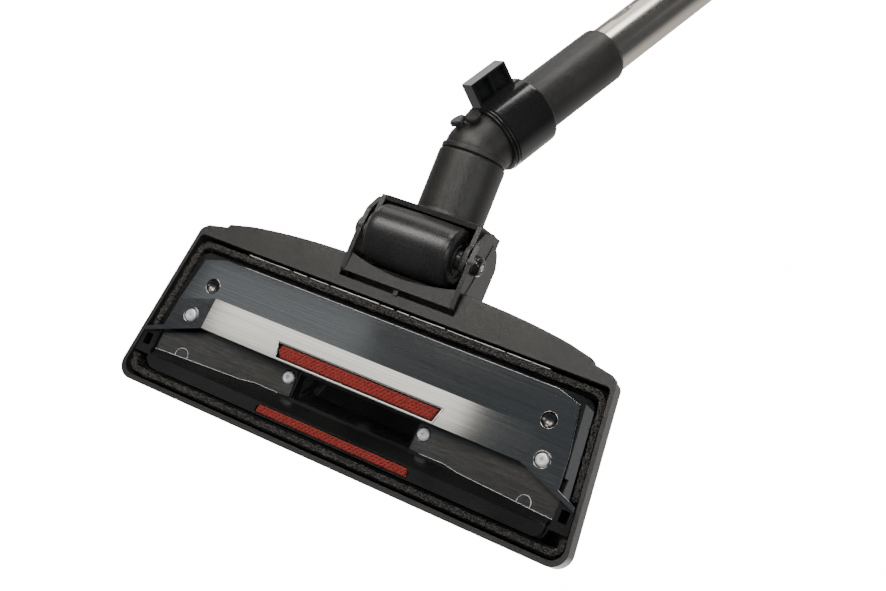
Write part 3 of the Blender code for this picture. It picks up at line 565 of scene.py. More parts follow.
def housing():
    """Upper shell: straight rim, smooth dome, rear flange and duct hump."""
    outer = trapezoid(RIM_REAR_Y, RIM_FRONT_Y, 0.0, 5.0, 10.0)
    inner = trapezoid(RIM_INNER_REAR_Y, RIM_INNER_FRONT_Y, RIM_WALL, 3.0, 8.0)
    bands = 22
    pulls = [(k / bands) ** 1.7 * 0.97 for k in range(bands + 1)]
    outside = [dome_ring(outer, 0.0, RIM_BOTTOM_Z)] + [dome_ring(outer, p, dome_z(p)) for p in pulls]
    inside = [dome_ring(inner, 0.0, RIM_BOTTOM_Z - 2)]
    inside += [dome_ring(inner, p, dome_z(p) - 1.2 - 1.3 * min(1.0, p / 0.3)) for p in pulls[::2]]
    shell = loops("housing", outside)
    cut(shell, loops("cavity", inside))

    sweep = [FLANGE_HALF_X * 0.99 * k / 18 for k in range(19)]
    rear = [(x, FLANGE_REAR_Y - FLANGE_SWEEP * (x / FLANGE_HALF_X) ** 3) for x in sweep]
    end = rounded([
        (FLANGE_HALF_X - 12, 36.6, 0), (FLANGE_HALF_X, 34.6, 1.6), (FLANGE_HALF_X + 0.8, 32.3, 1.0),
        (140.6, 29.4, 4.0), (142.0, 24.0, 0),
    ], 5)
    half = rear[:-2] + end[1:]
    flange = prism("flange", half + [(-x, y) for x, y in reversed(half[1:])], "Z", RIM_BOTTOM_Z, 12.0)
    round_edges(flange, 3.0, 7, 50.0)
    add(shell, apply_modifiers(flange))

    hump = rounded([(-41, 22, 0), (-38, 38.6, 9), (38, 38.6, 9), (41, 22, 0)], 8)
    add(shell, prism("hump", hump, "Y", -27.0, 21.2))
    hollow = rounded([(-37, 20.4, 0), (-34.6, 36.1, 5), (34.6, 36.1, 5), (37, 20.4, 0)], 4)
    cut(shell, prism("hump_hollow", hollow, "Y", -28.5, 24.0))
    block = rounded([(26.5, 6, 0), (26.5, 22.5, 3), (40.0, 22.5, 5), (40.0, 6, 0)], 5)
    for side in (-1, 1):
        add(shell, prism("bearing", block, "X", *span(side, BAY_HALF_WIDTH, 47.5)))
    for front_y, floor_z in ((29.1, -5), (25.6, 3.8), (21.4, 21.0)):
        cut(shell, box("bay", (-BAY_HALF_WIDTH, front_y, floor_z), (BAY_HALF_WIDTH, 60, 60)))

    x0, x1 = PEDAL_X - PEDAL_HALF_WIDTH - 1.2, PEDAL_X + PEDAL_HALF_WIDTH + 1.2
    lug = [(-21, 38.4), (-11, 38.4), (-12.5, 30.5), (-19.5, 30.5)]
    for lo, hi in ((x0 - 3.4, x0 - 0.2), (x1 + 0.2, x1 + 3.4)):
        add(shell, prism("lug", lug, "X", lo, hi))
    cut(shell, box("pedal_opening", (x0, -31.4, 30), (x1, -0.6, 50)))
    cut(shell, rod_x("pedal_seat", PEDAL_PIVOT, x0 - 2.6, x1 + 2.6, 2.1))
    round_edges(shell, 0.7)
    piece(shell, "head", "housing_plastic", "upper_housing")


def star(radius, seg=24):
    """Six-lobed drive recess outline."""
    out = []
    for k in range(seg):
        a = 2 * math.pi * k / seg
        r = radius * (0.84 + 0.16 * math.cos(6 * a))
        out.append((r * math.cos(a), r * math.sin(a)))
    return out


def pan_screw(name, node, x, y, recess_depth, rim_z=None):
    """Screw with a rounded pan head and a six-lobed recess, pointing up."""
    low, high = node_box(node)
    length = high.z - low.z
    shank_r = 1.7
    head = [(0.0, 0.0), (0.0, 2.4)] + arc((1.3, 2.4), 1.5, 178, 92, 8)
    shank = [(2.4, 3.9), (2.4, shank_r), (length - 1, shank_r), (length, 0)]
    screw = lathe(name, head + shank, (x, y, low.z), Z_AXIS, 48)
    drive = [(x + u, y + v) for u, v in star(1.35)]
    cut(screw, prism("drive", drive, "Z", low.z - 1, low.z + recess_depth))
    round_edges(screw, 0.15, 2)
    piece(screw, "head", "zinc_steel", node)
    if rim_z is not None:
        rim = lathe(name + "_rim", arc((0.0, 4.9), 0.32, 0, 330, 11), (x, y, rim_z), Z_AXIS, 64)
        piece(rim, "head", "sole_steel")


def weave(x, y):
    """Pile height from 0 to 1: slanted gaps in offset rows."""
    pitch, row_pitch, slant = 2.7, 1.75, 0.35
    row = y / row_pitch
    k = math.floor(row)
    phase = x / pitch + 0.5 * (k % 2) + slant * (row - k)
    across = (phase - math.floor(phase) - 0.5) * pitch
    along = (row - k - 0.5) * row_pitch
    gap = math.exp(-(across / 0.62) ** 2 - (along / 0.66) ** 2)
    ragged = 0.25 * noise.noise(Vector((x * 1.9, y * 1.9, 0.0)))
    return max(0.0, min(1.0, 1.0 - 0.95 * gap + ragged))


def velour_pad(name, node, rear, front, underside, top_z, point=0.0):
    """Woven pile pad; rear and front are (y, half width) of its long edges.
    The corners of its left end are cut back by point."""
    columns, rows = 320, 26
    edge_fall, pile_depth = 0.9, 0.5
    verts, piles = [], []
    for r in range(rows + 1):
        v = r / rows
        y = rear[0] + (front[0] - rear[0]) * v
        half = rear[1] + (front[1] - rear[1]) * v
        for c in range(columns + 1):
            share = 2 * c / columns - 1
            reach = half - (point * abs(2 * v - 1) if share > 0 else 0.0)
            x = reach * share
            to_edge = min(reach - abs(x), abs(y - rear[0]), abs(y - front[0]))
            pile = weave(x, y)
            crown = min(1.0, to_edge / edge_fall) ** 0.5
            z = underside(y) + edge_fall * (1 - crown) + pile_depth * (1 - pile)
            verts.append((x, y, z))
            piles.append(pile)
    across = columns + 1
    faces = [
        (r * across + c, r * across + c + 1, (r + 1) * across + c + 1, (r + 1) * across + c)
        for r in range(rows) for c in range(columns)
    ]
    border = list(range(across)) + [r * across + columns for r in range(1, rows + 1)]
    border += [rows * across + c for c in range(columns - 1, -1, -1)]
    border += [r * across for r in range(rows - 1, 0, -1)]
    first = len(verts)
    verts += [(verts[i][0], verts[i][1], top_z) for i in border]
    piles += [0.0] * len(border)
    count = len(border)
    faces += [
        (border[k], border[(k + 1) % count], first + (k + 1) % count, first + k)
        for k in range(count)
    ]
    faces.append(tuple(range(first, first + count)))
    pad = build(name, verts, faces)
    # The pile height also goes to the material, which uses it to darken the gaps as painted shade.
    layer = pad.data.attributes.new("pile", "FLOAT", "POINT")
    layer.data.foreach_set("value", piles[:len(pad.data.vertices)])
    piece(pad, "head", "red_velour", node, smooth=80.0)


def ramp_frame():
    """Bright stamped lip round the rear pad's pocket."""
    inner = [(-56.4, -22.4), (56.4, -22.4), (54.1, -31.5), (-54.1, -31.5)]
    outer = [(-57.7, -21.6), (57.7, -21.6), (54.8, -32.4), (-54.8, -32.4)]
    lip, sunk = 0.42, -0.6
    rings = [
        [(x, y, ramp_z(y) - dz) for x, y in outline]
        for outline, dz in ((inner, sunk), (inner, lip), (outer, lip), (outer, sunk))
    ]
    frame_lip = loops("pocket_lip", rings, True)
    round_edges(frame_lip, 0.16, 2)
    piece(frame_lip, "head", "sole_steel")


def sole_sheet():
    """Bent steel sole with its pressed dimples, screw holes and pad pocket."""
    half = [
        (0.0, 12.2, 0.0), (114.4, 12.2, 0.0), (128.9, 8.1, 0.0), (134.3, -20.5, 0.0),
        (110.0, RAMP_TOP_Y, 0.0), (0.0, RAMP_TOP_Y, 0.0),
        (110.0, RAMP_BOTTOM_Y, -RAMP_DROP), (0.0, RAMP_BOTTOM_Y, -RAMP_DROP),
        (136.0, -39.3, -0.9), (147.4, -43.9, -0.4), (148.0, -47.0, -0.4),
    ]
    tiles = [
        (0, 1, 4, 5), (1, 2, 3), (1, 3, 4), (5, 4, 6, 7),
        (4, 3, 8), (4, 8, 6), (6, 8, 10), (8, 9, 10),
    ]
    count = len(half)
    verts = [
        (side * x, y, z + dz)
        for dz in (0.0, SHEET) for side in (1, -1) for x, y, z in half
    ]
    faces, edges = [], {}
    for other_half in (0, 1):
        for tile in tiles:
            low = [other_half * count + i for i in tile]
            if other_half:
                low.reverse()
            faces += [tuple(low), tuple(reversed([i + 2 * count for i in low]))]
            edges.update(dict.fromkeys(zip(low, low[1:] + low[:1])))
    for a, b in edges:
        on_middle = verts[a][0] == 0 and verts[b][0] == 0
        if (b, a) not in edges and not on_middle:
            faces.append((b, a, a + 2 * count, b + 2 * count))
    sheet = build("sole_sheet", verts, faces)
    for side in (-1, 1):
        spot = (side * DIMPLE_X, DIMPLE_Y, 0)
        cut(sheet,
            rod("dent", spot, Z_AXIS, -3, 4, DIMPLE_R, 48),
            rod("hole", (side * OUTER_SCREW[0], OUTER_SCREW[1], 0), Z_AXIS, -4, 4, 4.3, 48))
        turns = [math.pi * k / 36 for k in range(19)]
        bowl = [(2.9 * math.cos(a), 4.6 * math.sin(a)) for a in turns]
        over = [(z + 0.5, r + 0.3) for z, r in reversed(bowl[1:])] + [(bowl[0][0] + 0.5, 0)]
        cup = lathe("dimple", bowl + over, spot, Z_AXIS, 64)
        # The bowl takes the darker channel steel instead of the sheet's own steel: painted shade in the pressed
        # recess.
        piece(cup, "head", "channel_steel")
        lip = lathe("dimple_lip", arc((0.25, 4.85), 0.3, 0, 330, 11), spot, Z_AXIS, 64)
        piece(lip, "head", "sole_steel")
    pocket = [(-56.2, -22.6), (56.2, -22.6), (53.9, -31.5), (-53.9, -31.5)]
    cut(sheet, prism("pocket", pocket, "Z", -4, 4))
    round_edges(sheet, 0.32, 3, 24.0)
    piece(sheet, "head", "sole_steel", "sole_plate", smooth=2.0)


def channel_z(x):
    """Height of the channel plates' underside."""
    return PLATE_Z - PLATE_SLOPE * (max(abs(x), PLATE_START_X) - PLATE_START_X)


def plate_front_y(x):
    return PLATE_FRONT_Y - PLATE_SET_FORWARD * max(abs(x) - PLATE_BEND_X, 0.0) / PLATE_BEND_RUN


def edge_line(name, spots, slot="zinc_steel"):
    """Thin strip along a sheet's edge, run through (x, y, z) points; in the bright zinc look it is a painted
    highlight along the edge.
    """
    rings = []
    for i, spot in enumerate(spots):
        here = Vector(spot)
        before, after = spots[max(i - 1, 0)], spots[min(i + 1, len(spots) - 1)]
        way = (Vector(after) - Vector(before)).normalized()
        side = way.cross(Z_AXIS).normalized() * 0.12
        rings.append([
            tuple(here + side * u + Z_AXIS * w)
            for u, w in ((-1, -0.1), (1, -0.1), (1, 0.3), (-1, 0.3))
        ])
    piece(loops(name, rings), "head", slot)


def channel_edge(name, side):
    """Painted highlight strip in bright zinc along the front edge of a channel plate."""
    bent = [PLATE_BEND_X + 61.6 * k / 12 for k in range(13)]
    line = [(50.0, -50.2), (66.0, -50.0)] + [(x, plate_front_y(x)) for x in bent]
    edge_line(name, [(side * x, y, channel_z(x)) for x, y in line])


def stamped_ring(name, side):
    """Round stamping near the outer end of a channel plate, drawn as a thin bright zinc bead: a painted highlight
    on the stamping's ridge.
    """
    cx, cy, radius, wire = 119.0, -52.3, 4.3, 0.17
    rings, steps = [], 39
    for k in range(steps + 1):
        a = math.radians(-20 + 220 * k / steps)
        x, y = cx + radius * math.cos(a), cy + radius * math.sin(a)
        out = Vector((math.cos(a), math.sin(a)))
        turns = [math.pi * m / 3 for m in range(6)]
        rings.append([
            (side * (x + out.x * wire * math.cos(b)), y + out.y * wire * math.cos(b),
             channel_z(x) + wire * math.sin(b))
            for b in turns
        ])
    piece(loops(name, rings), "head", "zinc_steel", smooth=70.0)


# ---- brush and pedal

def strip_path(rear):
    """Plan line of a bristle strip, from its right end to its left end."""
    ends = [(-41.4, 0), (18.4, 7.0)] if rear else [(-61.5, 0), (-70.9, 5.5)]
    half = [(half_width(y) - STRIP_INSET, y, radius) for y, radius in ends]
    return [Vector(p) for p in rounded(mirrored(half), 10)]


def along_path(path, distance):
    """Point and unit direction at a distance along a plan line."""
    for a, b in zip(path, path[1:]):
        step = (b - a).length
        if distance <= step or b is path[-1]:
            way = (b - a).normalized()
            return a + way * min(distance, step), way
        distance -= step


def bristle_strip(name, node, rear, count, seed):
    """Dense strip of fibres in ragged tufts over a dark backing."""
    low, high = node_box(node)
    path = strip_path(rear)
    length = sum((b - a).length for a, b in zip(path, path[1:]))
    pick = random.Random(seed)
    verts, faces = [], []
    for _ in range(count):
        run = pick.uniform(0.15, length - 0.15)
        side = pick.uniform(-1, 1)
        spot, way = along_path(path, run)
        left = Vector((-way.y, way.x))
        tuft = noise.noise(Vector((run * 0.24, side * 1.4, seed)))
        root = spot + left * side * HALF_STRIP * 0.86
        lean = left * (tuft * 0.30 + pick.gauss(0, 0.10)) + way * (pick.gauss(0, 0.26) + tuft * 0.35)
        tip = root + lean
        off = (tip - spot).dot(left)
        tip -= left * (off - max(-HALF_STRIP, min(HALF_STRIP, off)))
        tip_z = low.z + 0.1 + max(0.0, 0.9 - 1.5 * tuft) + pick.uniform(0, 0.9)
        thick = pick.uniform(0.10, 0.17)
        first = len(verts)
        for centre, z, r in ((root, high.z - 0.3, thick), (tip, tip_z, thick * 0.85)):
            for m in range(3):
                a = 2 * math.pi * m / 3 + run
                verts.append((centre.x + r * math.cos(a), centre.y + r * math.sin(a), z))
        a, b, c, d, e, f = range(first, first + 6)
        faces += [(a, b, e, d), (b, c, f, e), (c, a, d, f), (f, e, d), (a, c, b)]
    strip = build(name, verts, faces)
    piece(strip, "brush", "bristle_fibre", node, smooth=70.0)
    rings, backing_z = [], low.z + 3.4
    for p, q in zip(path, path[1:] + path[-1:]):
        if q is not p:
            way = (q - p).normalized()
        left = Vector((-way.y, way.x)) * HALF_STRIP * 0.8
        rings.append([
            (p.x + k * left.x, p.y + k * left.y, z)
            for k, z in ((1, backing_z), (-1, backing_z), (-1, high.z), (1, high.z))
        ])
    backing = loops(name + "_backing", rings)
    piece(backing, "brush", "black_rubber")


def bristle_glint_strips():
    """Short bright zinc strips with random gaps behind the rear bristles: a painted highlight for the glints seen
    between the fibres.
    """
    pick = random.Random(7)
    verts, faces = [], []
    reach, front_y, rear_y, top_z = 104.0, 20.9, 21.3, 12.9
    x = -reach
    while x < reach - 1.0:
        end = min(reach, x + pick.uniform(5.0, 24.0))
        z0, z1 = (4.4 + pick.uniform(-0.5, 0.7) for _ in range(2))
        first = len(verts)
        for u, z in ((x, z0), (end, z1)):
            verts += [(u, front_y, z), (u, rear_y, z), (u, rear_y, top_z), (u, front_y, top_z)]
        a, b, c, d, e, f, g, h = range(first, first + 8)
        faces += [(a, b, c, d), (h, g, f, e), (a, e, f, b), (b, f, g, c), (c, g, h, d), (d, h, e, a)]
        x = end + pick.uniform(0.4, 3.2)
    piece(build("bristle_glint_strips", verts, faces), "brush", "zinc_steel")


def pedal_grips():
    """Raised grip bars across the pedal's tread."""
    low, high = node_box("pedal")
    foot, crest = high.z - 1.6, high.z - 0.1
    for k in range(6):
        y = low.y + 5.5 + k * 2.6 + (2.2 if k > 2 else 0.0)
        outline = rounded([
            (y, foot, 0), (y + 1.3, foot, 0), (y + 1.3, crest, 0.6), (y, crest, 0.6),
        ], 4)
        bar = prism("pedal_grip_%d" % (k + 1), outline, "X", low.x + 5, high.x - 5)
        round_edges(bar, 0.25, 2)
        piece(bar, "foot_pedal", "housing_plastic")


# ---- knuckle, roller, hose

def roller():
    """Crowned barrel with stepped hubs, rounded shoulders and a mould line."""
    low, high = node_box("roller")
    half, hub, radius = high.x, 28.2, (high.z - low.z) / 2
    crown = [(x, radius - 0.4 * (x / 22.0) ** 2) for x in (22.0, 17.0, 12.0, 7.0, 0.0)]
    shoulder = arc((24.2, 14.4), 4.0, 4, 78, 10)
    end = [
        (half, 5.9), (hub + 0.3, 6.2), (hub + 0.3, 9.2),
        (hub - 0.5, 9.6), (hub - 0.5, 11.0), (hub, 11.3),
    ]
    right = end + shoulder + crown
    bore = [(half, AXLE_BORE_R), (-half, AXLE_BORE_R)]
    profile = [(-x, r) for x, r in right] + right[::-1][1:] + bore
    seg, line_column, line_height = 144, 10, 0.14

    def mould_line(along, r, angle):
        column = round(angle / (2 * math.pi) * seg) % (seg // 2)
        return r + (line_height if column == line_column and r > 12 else 0.0)

    barrel = lathe("roller_barrel", profile, AXLE, X_AXIS, seg, mould_line)
    piece(barrel, "rear_roller", "roller_plastic", "roller", smooth=38.0)


def axle_fasteners():
    """Small screw in a domed boss at one end and a low domed cap at the other."""
    head = [(-44.2, 0), (-44.15, 0.9), (-43.95, 1.5), (-43.55, 1.95), (-43.0, 2.1), (-42.3, 2.1)]
    screw = lathe("axle_fastener", head + [(-42.3, 1.3), (-35.5, 1.3), (-34.6, 0)], AXLE, X_AXIS, 48)
    cut(screw, prism("drive", [(AXLE.y + u, AXLE.z + v) for u, v in star(1.0)], "X", -46, -43.4))
    piece(screw, "knuckle", "zinc_steel", "axle_screw")
    dome = [
        (-40.1, 6.0), (-41.2, 6.05), (-42.3, 5.7), (-43.1, 5.0), (-43.6, 4.1), (-43.75, 3.2),
        (-43.5, 2.5), (-42.6, 2.3), (-40.1, 2.3),
    ]
    piece(lathe("axle_boss_dome", dome, AXLE, X_AXIS, 72), "knuckle", "gloss_black_plastic")
    cap = lathe(
        "axle_end_cap", [(40.1, 0), (40.1, 6.1), (40.6, 5.7), (41.1, 4.7), (41.4, 3.2), (41.55, 0)],
        AXLE, X_AXIS, 72)
    piece(cap, "knuckle", "gloss_black_plastic", "axle_cap")


def sector(inner, outer, start_deg, end_deg, seg):
    """Curved wall about the roller's axle, in (y, z)."""
    return arc(AXLE.yz, inner, start_deg, end_deg, seg) + arc(AXLE.yz, outer, end_deg, start_deg, seg)


def yoke():
    """Fork that carries the roller: two round-cornered ears joined by a bowed bar."""
    ear = rounded([
        (32.0, -2.0, 1.5), (44.0, -3.4, 0), (62.0, -4.4, 0), (73.0, -3.3, 7), (84.4, 5.6, 7),
        (84.5, 14.0, 3), (80.0, 18.6, 1), (77.5, 26.5, 4), (70.0, 34.0, 6), (44.0, 35.0, 0),
        (32.0, 32.0, 6), (26.6, 19.0, 4), (27.4, 8.6, 2), (32.0, 4.6, 0),
    ], 8)
    cheek_pad = rounded([
        (43.2, 4.4, 0), (79.4, 15.2, 1.0), (79.3, 18.0, 1.0), (76.7, 26.2, 4), (69.6, 33.3, 6),
        (44.3, 34.2, 0), (32.6, 31.4, 6), (27.6, 19.0, 4), (30.0, 10.0, 4),
    ], 6)
    reach = 36.5
    bow = [-reach + 2 * reach * k / 24 for k in range(25)]
    bowed = [(x, 38.8 + 5.2 * (abs(x) / reach) ** 1.9) for x in bow]
    bar = [(-reach, 32.4)] + bowed + [(reach, 32.4)]
    frame_part = prism("yoke_frame", bar, "Z", -2.0, 1.4)
    panel = [(34.4, 0.5), (37.6, 0.5), (38.6, 8.0), (42.6, 10.2), (43.4, 13.5), (38.0, 12.4)]
    shelf = [(26.2, 11.5), (38.6, 11.0), (38.6, 12.6), (26.2, 13.0)]
    add(frame_part,
        prism("panel", panel, "X", -36.4, 36.4),
        prism("shelf", shelf, "X", -36.3, 36.3),
        prism("guard_front", sector(19.9, 21.3, 127, 172, 12), "X", -36.3, 36.3),
        prism("guard_top", sector(19.9, 21.3, 72, 128, 14), "X", -31.2, 31.2))
    for side in (-1, 1):
        add(frame_part,
            prism("ear", ear, "X", *span(side, EAR_IN, EAR_OUT)),
            prism("cheek_pad", cheek_pad, "X", *span(side, EAR_OUT - 0.5, EAR_OUT + 0.45)),
            rod_x("boss", AXLE.yz, *span(side, EAR_IN, 40.2), 6.2, 64))
    cut(frame_part,
        rod_x("axle_bore", AXLE.yz, -50, 50, AXLE_BORE_R),
        *(rod_x("pin_bore", TILT_AXIS, *span(side, 34, 41), TILT_BORE_R) for side in (1, -1)))
    round_edges(frame_part, 0.5)
    piece(frame_part, "knuckle", "housing_plastic", "yoke")


def yoke_tab():
    """Small rib on the head that bridges the gap in front of the yoke's bar."""
    outline = rounded([(-1.5, 28.4, 0), (1.5, 28.4, 0), (1.5, 32.0, 0.4), (-1.5, 32.0, 0.4)], 4)
    tab = prism("yoke_tab", outline, "Z", RIM_BOTTOM_Z - 1.0, 3.6)
    round_edges(tab, 0.25, 2)
    piece(tab, "head", "housing_plastic")


# Stations of the hose: (y, z), the section's turn in degrees, half width, half height.
HOSE_PATH = [
    ((21.6, 28.5), 90, 29.0, 5.9), ((38.0, 30.2), 88, 27.0, 5.8), ((61.5, 31.9), 94, 23.0, 5.2),
    ((72.0, 32.1), 97, 19.5, 6.9), ((79.0, 30.6), 96, 17.8, 10.2), ((83.0, 28.2), 96, 16.4, 13.2),
]
HOSE_RIBS = 17


def hose_ring(s, swell, seg=64):
    """Rounded-square section at a share s of the hose's run."""
    t = s * (len(HOSE_PATH) - 1)
    i = min(int(t), len(HOSE_PATH) - 2)
    f = t - i
    (a, *rest_a), (b, *rest_b) = HOSE_PATH[i], HOSE_PATH[i + 1]
    pairs = zip((*a, *rest_a), (*b, *rest_b))
    y, z, turn, half_x, half_h = [p + (q - p) * f for p, q in pairs]
    up = (-math.cos(math.radians(turn)), math.sin(math.radians(turn)))
    out = []
    for k in range(seg):
        c, d = math.cos(2 * math.pi * k / seg), math.sin(2 * math.pi * k / seg)
        x = math.copysign(abs(c) ** 0.75, c) * (half_x + swell)
        h = math.copysign(abs(d) ** 0.75, d) * (half_h + swell)
        out.append((x, y + up[0] * h, z + up[1] * h))
    return out


def hose_part(name, start, end, front_body):
    """One stretch of the ribbed sleeve, curved across one joint; it is not left attached to a body."""
    count = round((end - start) * HOSE_RIBS * 8)
    spots = [start + (end - start) * k / count for k in range(count + 1)]

    def swell(s):
        return 0.45 - 0.45 * math.cos(2 * math.pi * s * HOSE_RIBS)

    outside = [hose_ring(s, swell(s)) for s in spots]
    inside = [hose_ring(s, swell(s) - 1.0) for s in spots]
    hose = loops(name, outside + inside[::-1], True)
    piece(hose, front_body, "black_rubber", "flex_hose", smooth=70.0)
    hose.parent = None
    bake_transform(hose)


def flex_hose():
    hose_part("hose_front", 0.0, 0.36, "knuckle")
    hose_part("hose_rear", 0.36, 1.0, "neck_body")


# ---- neck, elbow and wand

NECK_R, NECK_BORE_R = 21.6, 18.5
BALL_R, ELBOW_BORE_R = 19.7, 16.0
COLLAR_R, SLEEVE_R, TUBE_R = 23.0, 18.4, 16.0
TUBE_START, TUBE_END = 60.0, 300.0
CHEEK_IN, CHEEK_OUT = 31.5, 34.5
NECK_BASE = (86.0 - ELBOW.y) / NECK_AXIS.y


def neck():
    """Cowl behind the roller with two cheeks and a round tube."""
    cheek = rounded([
        (84.5, -0.6, 1), (89.3, 49.3, 5), (79.0, 49.6, 5), (72.4, 42.2, 0), (67.6, 24.4, 0),
        (60.0, 9.6, 0), (54.6, 5.4, 3), (54.2, -2.6, 4), (61.0, -4.0, 0), (68.6, -3.6, 4),
        (71.4, -1.0, 0),
    ], 6)
    wall = [(84.5, -0.6), (89.2, 49.0), (86.2, 49.3), (81.7, 0.4)]
    body = prism("neck_shell", wall, "X", -CHEEK_OUT + 0.1, CHEEK_OUT - 0.1)
    roof = [
        (89.1, 48.6), (88.0, 49.4), (79.4, 49.4), (72.4, 42.2), (73.0, 40.8), (80.8, 46.9), (86.6, 46.4),
    ]
    arc_floor = sector(23.6, 21.8, -2, 78, 16)
    add(body,
        prism("floor", arc_floor, "X", -CHEEK_IN - 0.5, CHEEK_IN + 0.5),
        prism("roof", roof, "X", -CHEEK_OUT + 0.1, CHEEK_OUT - 0.1))
    for side in (-1, 1):
        add(body, prism("cheek", cheek, "X", *span(side, CHEEK_IN, CHEEK_OUT)))
    slab = [(34.9, 33.5, 70.5), (22.3, 49.9, 79.5), (19.8, 48.0, 79.5), (32.4, 31.6, 70.5)]
    slab_rear_y = 87.6
    for side in (-1, 1):
        front_ring = [(side * x, y, z) for x, z, y in slab]
        rear_ring = [(side * x, slab_rear_y, z) for x, z, _ in slab]
        add(body, loops("gusset", [front_ring, rear_ring]))
        wedge = [(side * 21.2, 50.5), (side * 36.5, 50.5), (side * 36.5, 30.6)]
        cut(body, prism("corner", wedge, "Y", 60, 95))
    base = [(NECK_BASE, 0), (NECK_BASE, NECK_R + 1.3)]
    flare = [(NECK_BASE + 1.5 + along, NECK_R + extra)
             for along, extra in ((0.0, 1.3), (0.8, 0.75), (1.8, 0.3), (3.2, 0.0))]
    mouth = [(-7.3, NECK_R)] + arc((-6.9, NECK_R - 1.0), 1.0, 66, 8, 4)
    mouth += [(-5.9, NECK_R - 1.6), (-5.9, 0)]
    add(body, lathe("tube", base + flare + mouth, ELBOW, NECK_AXIS, 112))
    cut(body,
        rod("bore", ELBOW, NECK_AXIS, NECK_BASE - 5, 0, NECK_BORE_R, 64),
        rod_x("axle_bore", AXLE.yz, -50, 50, AXLE_BORE_R))
    round_edges(body, 0.6, 3)
    piece(body, "neck_body", "housing_plastic", "neck")


def ball(name, radius, axis, bands, seg):
    """Sphere about the elbow's centre with its poles on the axis."""
    turns = [math.pi * k / bands for k in range(1, bands)]
    side = [(-radius * math.cos(a), radius * math.sin(a)) for a in turns]
    return lathe(name, [(-radius, 0)] + side + [(radius, 0)], ELBOW, axis, seg)


def elbow():
    """Bent pipe with a lip ring at the neck and two disc lugs near the collar."""
    in_neck = [
        (-25.5, 0), (-25.5, 17.9), (-19.7, 17.9), (-19.7, 16.8), (-17.5, 16.8), (-17.5, 17.9), (-5.6, 17.9),
    ]
    lip = [(-5.6, 18.4), (-4.9, 18.4)]
    lip += arc((-4.2, 20.5), 0.7, 180, 90, 5) + arc((-2.2, 20.5), 0.7, 90, 0, 5)
    bend = [(-1.5, BALL_R - 0.1), (0, BALL_R), (0, 0)]
    body = lathe("elbow_shell", in_neck + lip + bend, ELBOW, NECK_AXIS, 112)
    bend_axis = (NECK_AXIS + WAND_AXIS).normalized()
    spigot = [(0, 0), (0, BALL_R), (18.6, BALL_R), (18.6, 15.7), (52, 15.7), (52, 0)]
    add(body,
        ball("ball", BALL_R, bend_axis, 40, 112),
        lathe("spigot", spigot, ELBOW, WAND_AXIS, 112))
    cut(body,
        ball("core", ELBOW_BORE_R, bend_axis, 16, 48),
        rod("bore_in", ELBOW, NECK_AXIS, -40, 0, 15.4),
        rod("bore_out", ELBOW, WAND_AXIS, 0, 60, 13.6),
        lathe("neck_room", [(-22.0, 17.9), (-22.0, 24.0), (-5.6, 24.0), (-5.6, 17.9)], ELBOW, NECK_AXIS, 64))
    knob = [
        (16.5, 0), (16.5, 3.0), (21.0, 3.0), (21.4, 4.4), (22.0, 5.1), (23.8, 5.1), (24.6, 4.4), (24.9, 0),
    ]
    for along, turn in ((-1.2, -0.08), (5.4, 0.24)):
        out = (TAB_SIDE * math.cos(turn) + TAB_ACROSS * math.sin(turn)).normalized()
        add(body, lathe("lug", knob, ELBOW + WAND_AXIS * along, out, 40))
    round_edges(body, 0.3, 2, 40.0)
    piece(body, "elbow_body", "housing_plastic", "elbow")


def wand_block(name, t0, t1, r0, r1, s0, s1):
    """Box in the wand's own directions: along, out to the tab, across."""
    verts = [ELBOW + WAND_AXIS * t + TAB_SIDE * r + TAB_ACROSS * s
             for t in (t0, t1) for r in (r0, r1) for s in (s0, s1)]
    faces = [(0, 1, 3, 2), (4, 6, 7, 5), (0, 4, 5, 1), (2, 3, 7, 6), (0, 2, 6, 4), (1, 5, 7, 3)]
    return build(name, verts, faces)


def collar():
    """Glossy locking collar with two rim rings, and its ribbed parking tab."""
    rings = arc((13.4, 21.9), 0.75, 180, 10, 7) + [(14.35, 21.7)] + arc((15.3, 22.3), 0.8, 160, 15, 7)
    barrel = [(16.3, 22.0), (16.7, 22.6), (17.1, COLLAR_R), (46.4, COLLAR_R)]
    end = arc((47.2, 21.6), 1.4, 85, 5, 5) + [(48.8, 21.0), (48.8, 16.8)]
    profile = [(12.65, 16.8)] + rings + barrel + end
    body = lathe("collar_shell", profile, ELBOW, WAND_AXIS, 144)
    half, half_web = 5.2, 0.9
    add(body, wand_block("tab", 13.4, 41.7, 19.8, 39.2, -half, half))
    for t0, t1 in ((15.2, 26.8), (28.2, 39.9)):
        for s0, s1 in ((half_web, half + 2), (-half - 2, -half_web)):
            cut(body, wand_block("pocket", t0, t1, 24.6, 37.8, s0, s1))
    cut(body,
        rod("mouth", ELBOW, WAND_AXIS, 5, 19.4, 20.3, 144),
        rod("bore", ELBOW, WAND_AXIS, 19.2, 60, SLEEVE_R + 0.3, 144))
    round_edges(body, 0.3, 3)
    piece(body, "wand", "gloss_black_plastic", "collar")


def sleeve():
    """Matte sleeve with a rounded rear end."""
    outside = [(20.0, 16.0), (20.0, SLEEVE_R), (60.0, SLEEVE_R), (100.0, SLEEVE_R)]
    end = arc((112.8, SLEEVE_R - 3.8), 3.8, 88, 12, 9)
    tube_r = TUBE_R + 0.3
    inside = [(116.6, tube_r), (58.0, tube_r), (58.0, 15.0), (55.0, 15.0), (55.0, 16.0)]
    body = lathe("sleeve_shell", outside + end + inside, ELBOW, WAND_AXIS, 144)
    piece(body, "wand", "housing_plastic", "sleeve")


DETENTS = (131.0, 161.0, 191.0, 221.0)
DETENT_LENGTH, DETENT_HALF_WIDTH, DETENT_DEPTH = 18.0, 3.6, 0.55
SPOT_R, SPOT_DEPTH = 1.7, DETENT_DEPTH + 0.35


